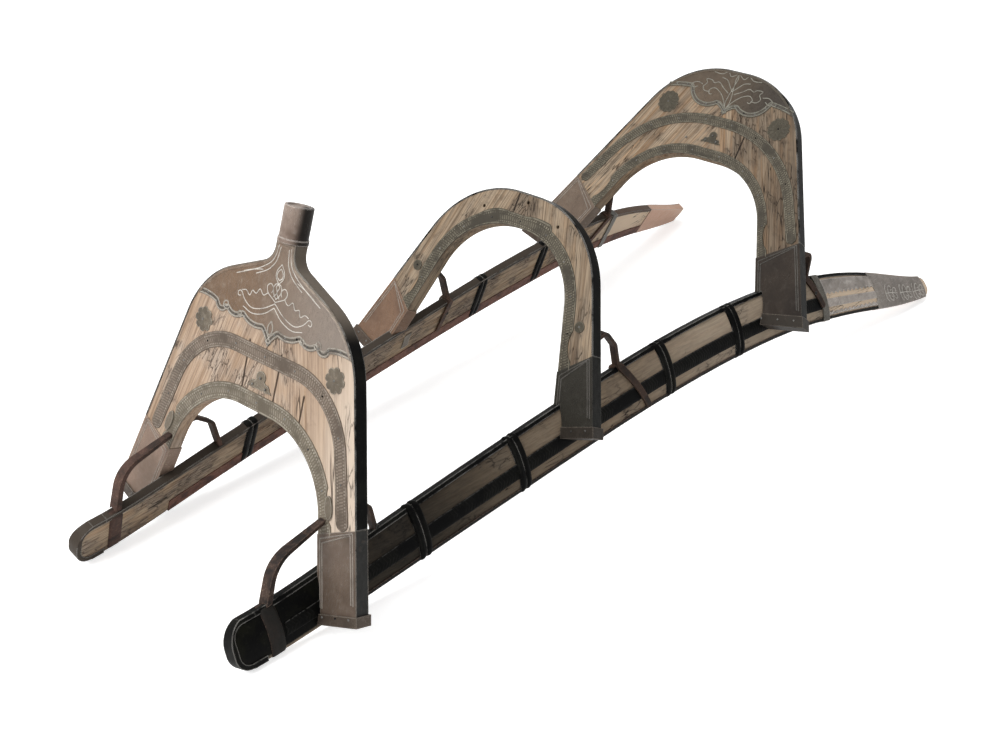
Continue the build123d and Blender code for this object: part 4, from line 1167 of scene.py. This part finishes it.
def casingLines(board):
    lines = []
    lowIn, lowOut = (height / mm for height in board["casingFoot"])
    topIn, topOut = (height / mm for height in board["casingTop"])
    for inset in casing["insets"]:
        heights = (lowIn + casing["inner"], topIn - inset)
        inner = [(halfAt(board["opening"], height) + inset, height) for height in heights]
        heights = (topOut - inset, lowOut + casing["outer"])
        outer = [(halfAt(board["leg"], height) - inset, height) for height in heights]
        lines += [inner, [inner[1], outer[0]], outer]
    return lines


for name, board in boards.items():
    lines = casingLines(board)
    near = [[(-across, height) for across, height in line] for line in lines]
    # The near lines of the middle and rear casings take the copy with painted shade
    nearFinish = sheet["faint"] if name == "front" else sheet["darkFaint"]
    engraving(name + "FarLines", board, lines, 1.5, sheet["faint"], 0.35, casing["rise"])
    engraving(name + "NearLines", board, near, 2.2, nearFinish, 0.7, casing["rise"])

# Sprigs scored on the outer face of each tail sheath: lines in metres along and up from a root
sprig = [[(-0.018, 0.0), (0.0, 0.001), (0.019, 0.0)]]
for line in (
    [(-0.01, 0.0), (-0.006, 0.009), (0.001, 0.013), (0.004, 0.007), (-0.001, 0.005)],
    [(0.003, 0.0), (0.009, 0.008), (0.016, 0.009), (0.017, 0.004), (0.013, 0.003)],
    [(-0.018, 0.0), (-0.016, 0.009), (-0.011, 0.014)],
):
    sprig += [line, [(along, -up) for along, up in line]]
sprigSection = ((-1.0, -0.2), (-0.5, 0.35), (0.5, 0.35), (1.0, -0.2))
sprigs = {"roots": (0.675, 0.722, 0.764), "half": 0.85 * mm, "step": 0.0015, "reach": 0.01}


def sprigPiece(hand, side):
    tree = treeOf("tail_sheath_" + hand)
    low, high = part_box("tail_sheath_" + hand)
    work = bmesh.new()

    def middleAt(x):
        return sum(seenHeights(tree, side, x, low.z, high.z)) / 2

    def settle(spot, lifted):
        place, facing = lookAt(tree, side, spot.x, spot.y)
        return place + facing * lifted

    for root in sprigs["roots"]:
        middle = middleAt(root)
        tilt = (middleAt(root + sprigs["reach"]) - middleAt(root - sprigs["reach"])) / (2 * sprigs["reach"])
        for line in sprig:
            places = [(root + along, middle + up + along * tilt) for along, up in line]
            ridge(work, smoothLine(places, sprigs["step"]), sprigs["half"], sprigSection, settle)
    placePiece(hand + "Sprigs", work, sheet["scored"], "bronze_sheet", None, 70.0)


for hand, side in sides.items():
    sprigPiece(hand, side)
print("sprigs made")


# Small domed nails
def nailPiece(name, places, radius):
    work = bmesh.new()
    for place, facing in places:
        turn = facing.to_track_quat("Z", "Y").to_matrix().to_4x4()
        turn.translation = place
        made = bmesh.ops.create_uvsphere(work, u_segments=10, v_segments=6, radius=radius * mm)
        bmesh.ops.scale(work, vec=(1.0, 1.0, 0.5), verts=made["verts"])
        bmesh.ops.transform(work, matrix=turn, verts=made["verts"])
    placePiece(name, work, iron, "black_iron")


def boardNails(board, places, rise):
    out = outOf(board)
    heights = [(across * mm, height * mm) for across, height in places]
    return [(boardPoint(board, across, height, rise * mm), out) for across, height in heights]


def alongNails(places, spacing):
    return inMillimetres(evenSteps(places, spacing * mm)[1:-1])


def studs(name, board, places, nail):
    nailPiece(name, boardNails(board, places, nail["rise"]), nail["radius"])


crestNails = {"inset": 4.8, "spacing": 22.0, "rise": 1.1, "radius": 1.7}
for name, lower in crestEdges.items():
    places = alongNails(insetLine(lower, crestNails["inset"]), crestNails["spacing"])
    studs(name + "CrestNails", boards[name], places, crestNails)
bandNails = {"spacing": 58.0, "rise": 1.1, "radius": 1.5}
for name, (board, path) in bandPaths.items():
    studs(name + "Nails", board, alongNails(path, bandNails["spacing"]), bandNails)

# Nails in the rosettes or discs and in the trefoils: places, then the rise of each kind
plateNails = {
    "front": ([(134, 336), (-134, 336)], [(0, 294), (13, 282), (-13, 282)], 2.4, 2.6),
    "middle": ([(170, 271), (-170, 271)], [], 1.6, 2.6),
    "rear": ([(118, 467), (-118, 467)], [(0, 426), (11, 416), (-11, 416), (51, 411)], 2.4, 2.6),
}
for name, (centres, leaves, centreRise, leafRise) in plateNails.items():
    places = boardNails(boards[name], centres, centreRise) + boardNails(boards[name], leaves, leafRise)
    nailPiece(name + "PlateNails", places, 1.8)
collarNails = {"shares": (0.15, 0.5, 0.85), "above": 9.0, "rise": 3.8, "radius": 1.7}
for name, board in boards.items():
    lowIn, lowOut = (height / mm for height in board["casingFoot"])
    places = []
    for share in collarNails["shares"]:
        height = lowIn + (lowOut - lowIn) * share + collarNails["above"]
        inner = halfAt(board["opening"], height)
        across = inner + (halfAt(board["leg"], height) - inner) * share
        places += [(across, height), (-across, height)]
    studs(name + "CollarNails", board, places, collarNails)

# Rivets near the ends of the braces' prongs, outside and inside the rails
braceRivets = {"outside": 0.007, "inside": 0.012, "radius": 3.4}
for name, landing in {"front": -0.543, "middle": -0.036, "rear": 0.456}.items():
    tree = treeOf(name + "_braces")
    low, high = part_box(name + "_braces")
    places = []
    for side in sides.values():
        lowest = seenHeights(tree, side, landing, low.z, high.z)[0]
        places.append(lookAt(tree, side, landing, lowest + braceRivets["outside"]))
        places.append(lookAt(tree, -side, landing, lowest + braceRivets["inside"], 0.0))
    places = [(place, facing) for place, facing in places if place]
    nailPiece(name + "BraceRivets", places, braceRivets["radius"])
print("nails made")

# The floor shines only for rays that are seen, so it adds no light
paper = Finish("paper")
glow = paper.blend((0.0, 0.0, 0.0), (0.62, 0.62, 0.62), paper.seen())
paper.surface((0.8, 0.8, 0.8), 0.9, Emission_Strength=1.0, Emission_Color=glow)
mesh = bpy.data.meshes.new("floor")
work = bmesh.new()
bmesh.ops.create_grid(work, x_segments=1, y_segments=1, size=30.0)
work.to_mesh(mesh)
work.free()
mesh.materials.append(paper.owner)
floor = bpy.data.objects.new("floor", mesh)
bpy.context.scene.collection.objects.link(floor)

# Soft lamps: place, target, width and height, watts
lamps = {
    "key": ((-2.8, 0.8, 2.4), (0.0, 0.0, 0.2), (2.2, 1.8), 122.0),
    "fill": ((-1.2, -3.0, 1.8), (0.0, 0.0, 0.2), (2.5, 2.0), 14.0),
    "top": ((0.2, 0.6, 3.4), (0.0, 0.0, 0.0), (3.0, 2.0), 50.0),
}
for name, (place, target, size, power) in lamps.items():
    lamp = bpy.data.lights.new(name, "AREA")
    lamp.shape = "RECTANGLE"
    lamp.size, lamp.size_y = size
    lamp.energy = power
    holder = bpy.data.objects.new(name, lamp)
    holder.location = place
    holder.rotation_euler = (Vector(target) - Vector(place)).to_track_quat("-Z", "Y").to_euler()
    bpy.context.scene.collection.objects.link(holder)
studio = Finish("studio", "worlds")
sky = studio.blend((0.38, 0.38, 0.38), (1.0, 1.0, 1.0), studio.seen())
studio.add("ShaderNodeOutputWorld", {}, {"Surface": studio.add("ShaderNodeBackground", {}, {"Color": sky})})
scene = bpy.context.scene
scene.world = studio.owner
scene.view_settings.view_transform = "Standard"

cameraPlace = {
    "position": (-1.633, -1.369, 1.209),
    "heading": (0.656, 0.5871, -0.4744),
    "lens": 52.0,
}
camera = bpy.data.objects.new("camera", bpy.data.cameras.new("camera"))
camera.data.lens = cameraPlace["lens"]
camera.data.sensor_width = 36.0
camera.location = cameraPlace["position"]
camera.rotation_euler = Vector(cameraPlace["heading"]).to_track_quat("-Z", "Y").to_euler()
scene.collection.objects.link(camera)
scene.camera = camera
print("stage set")
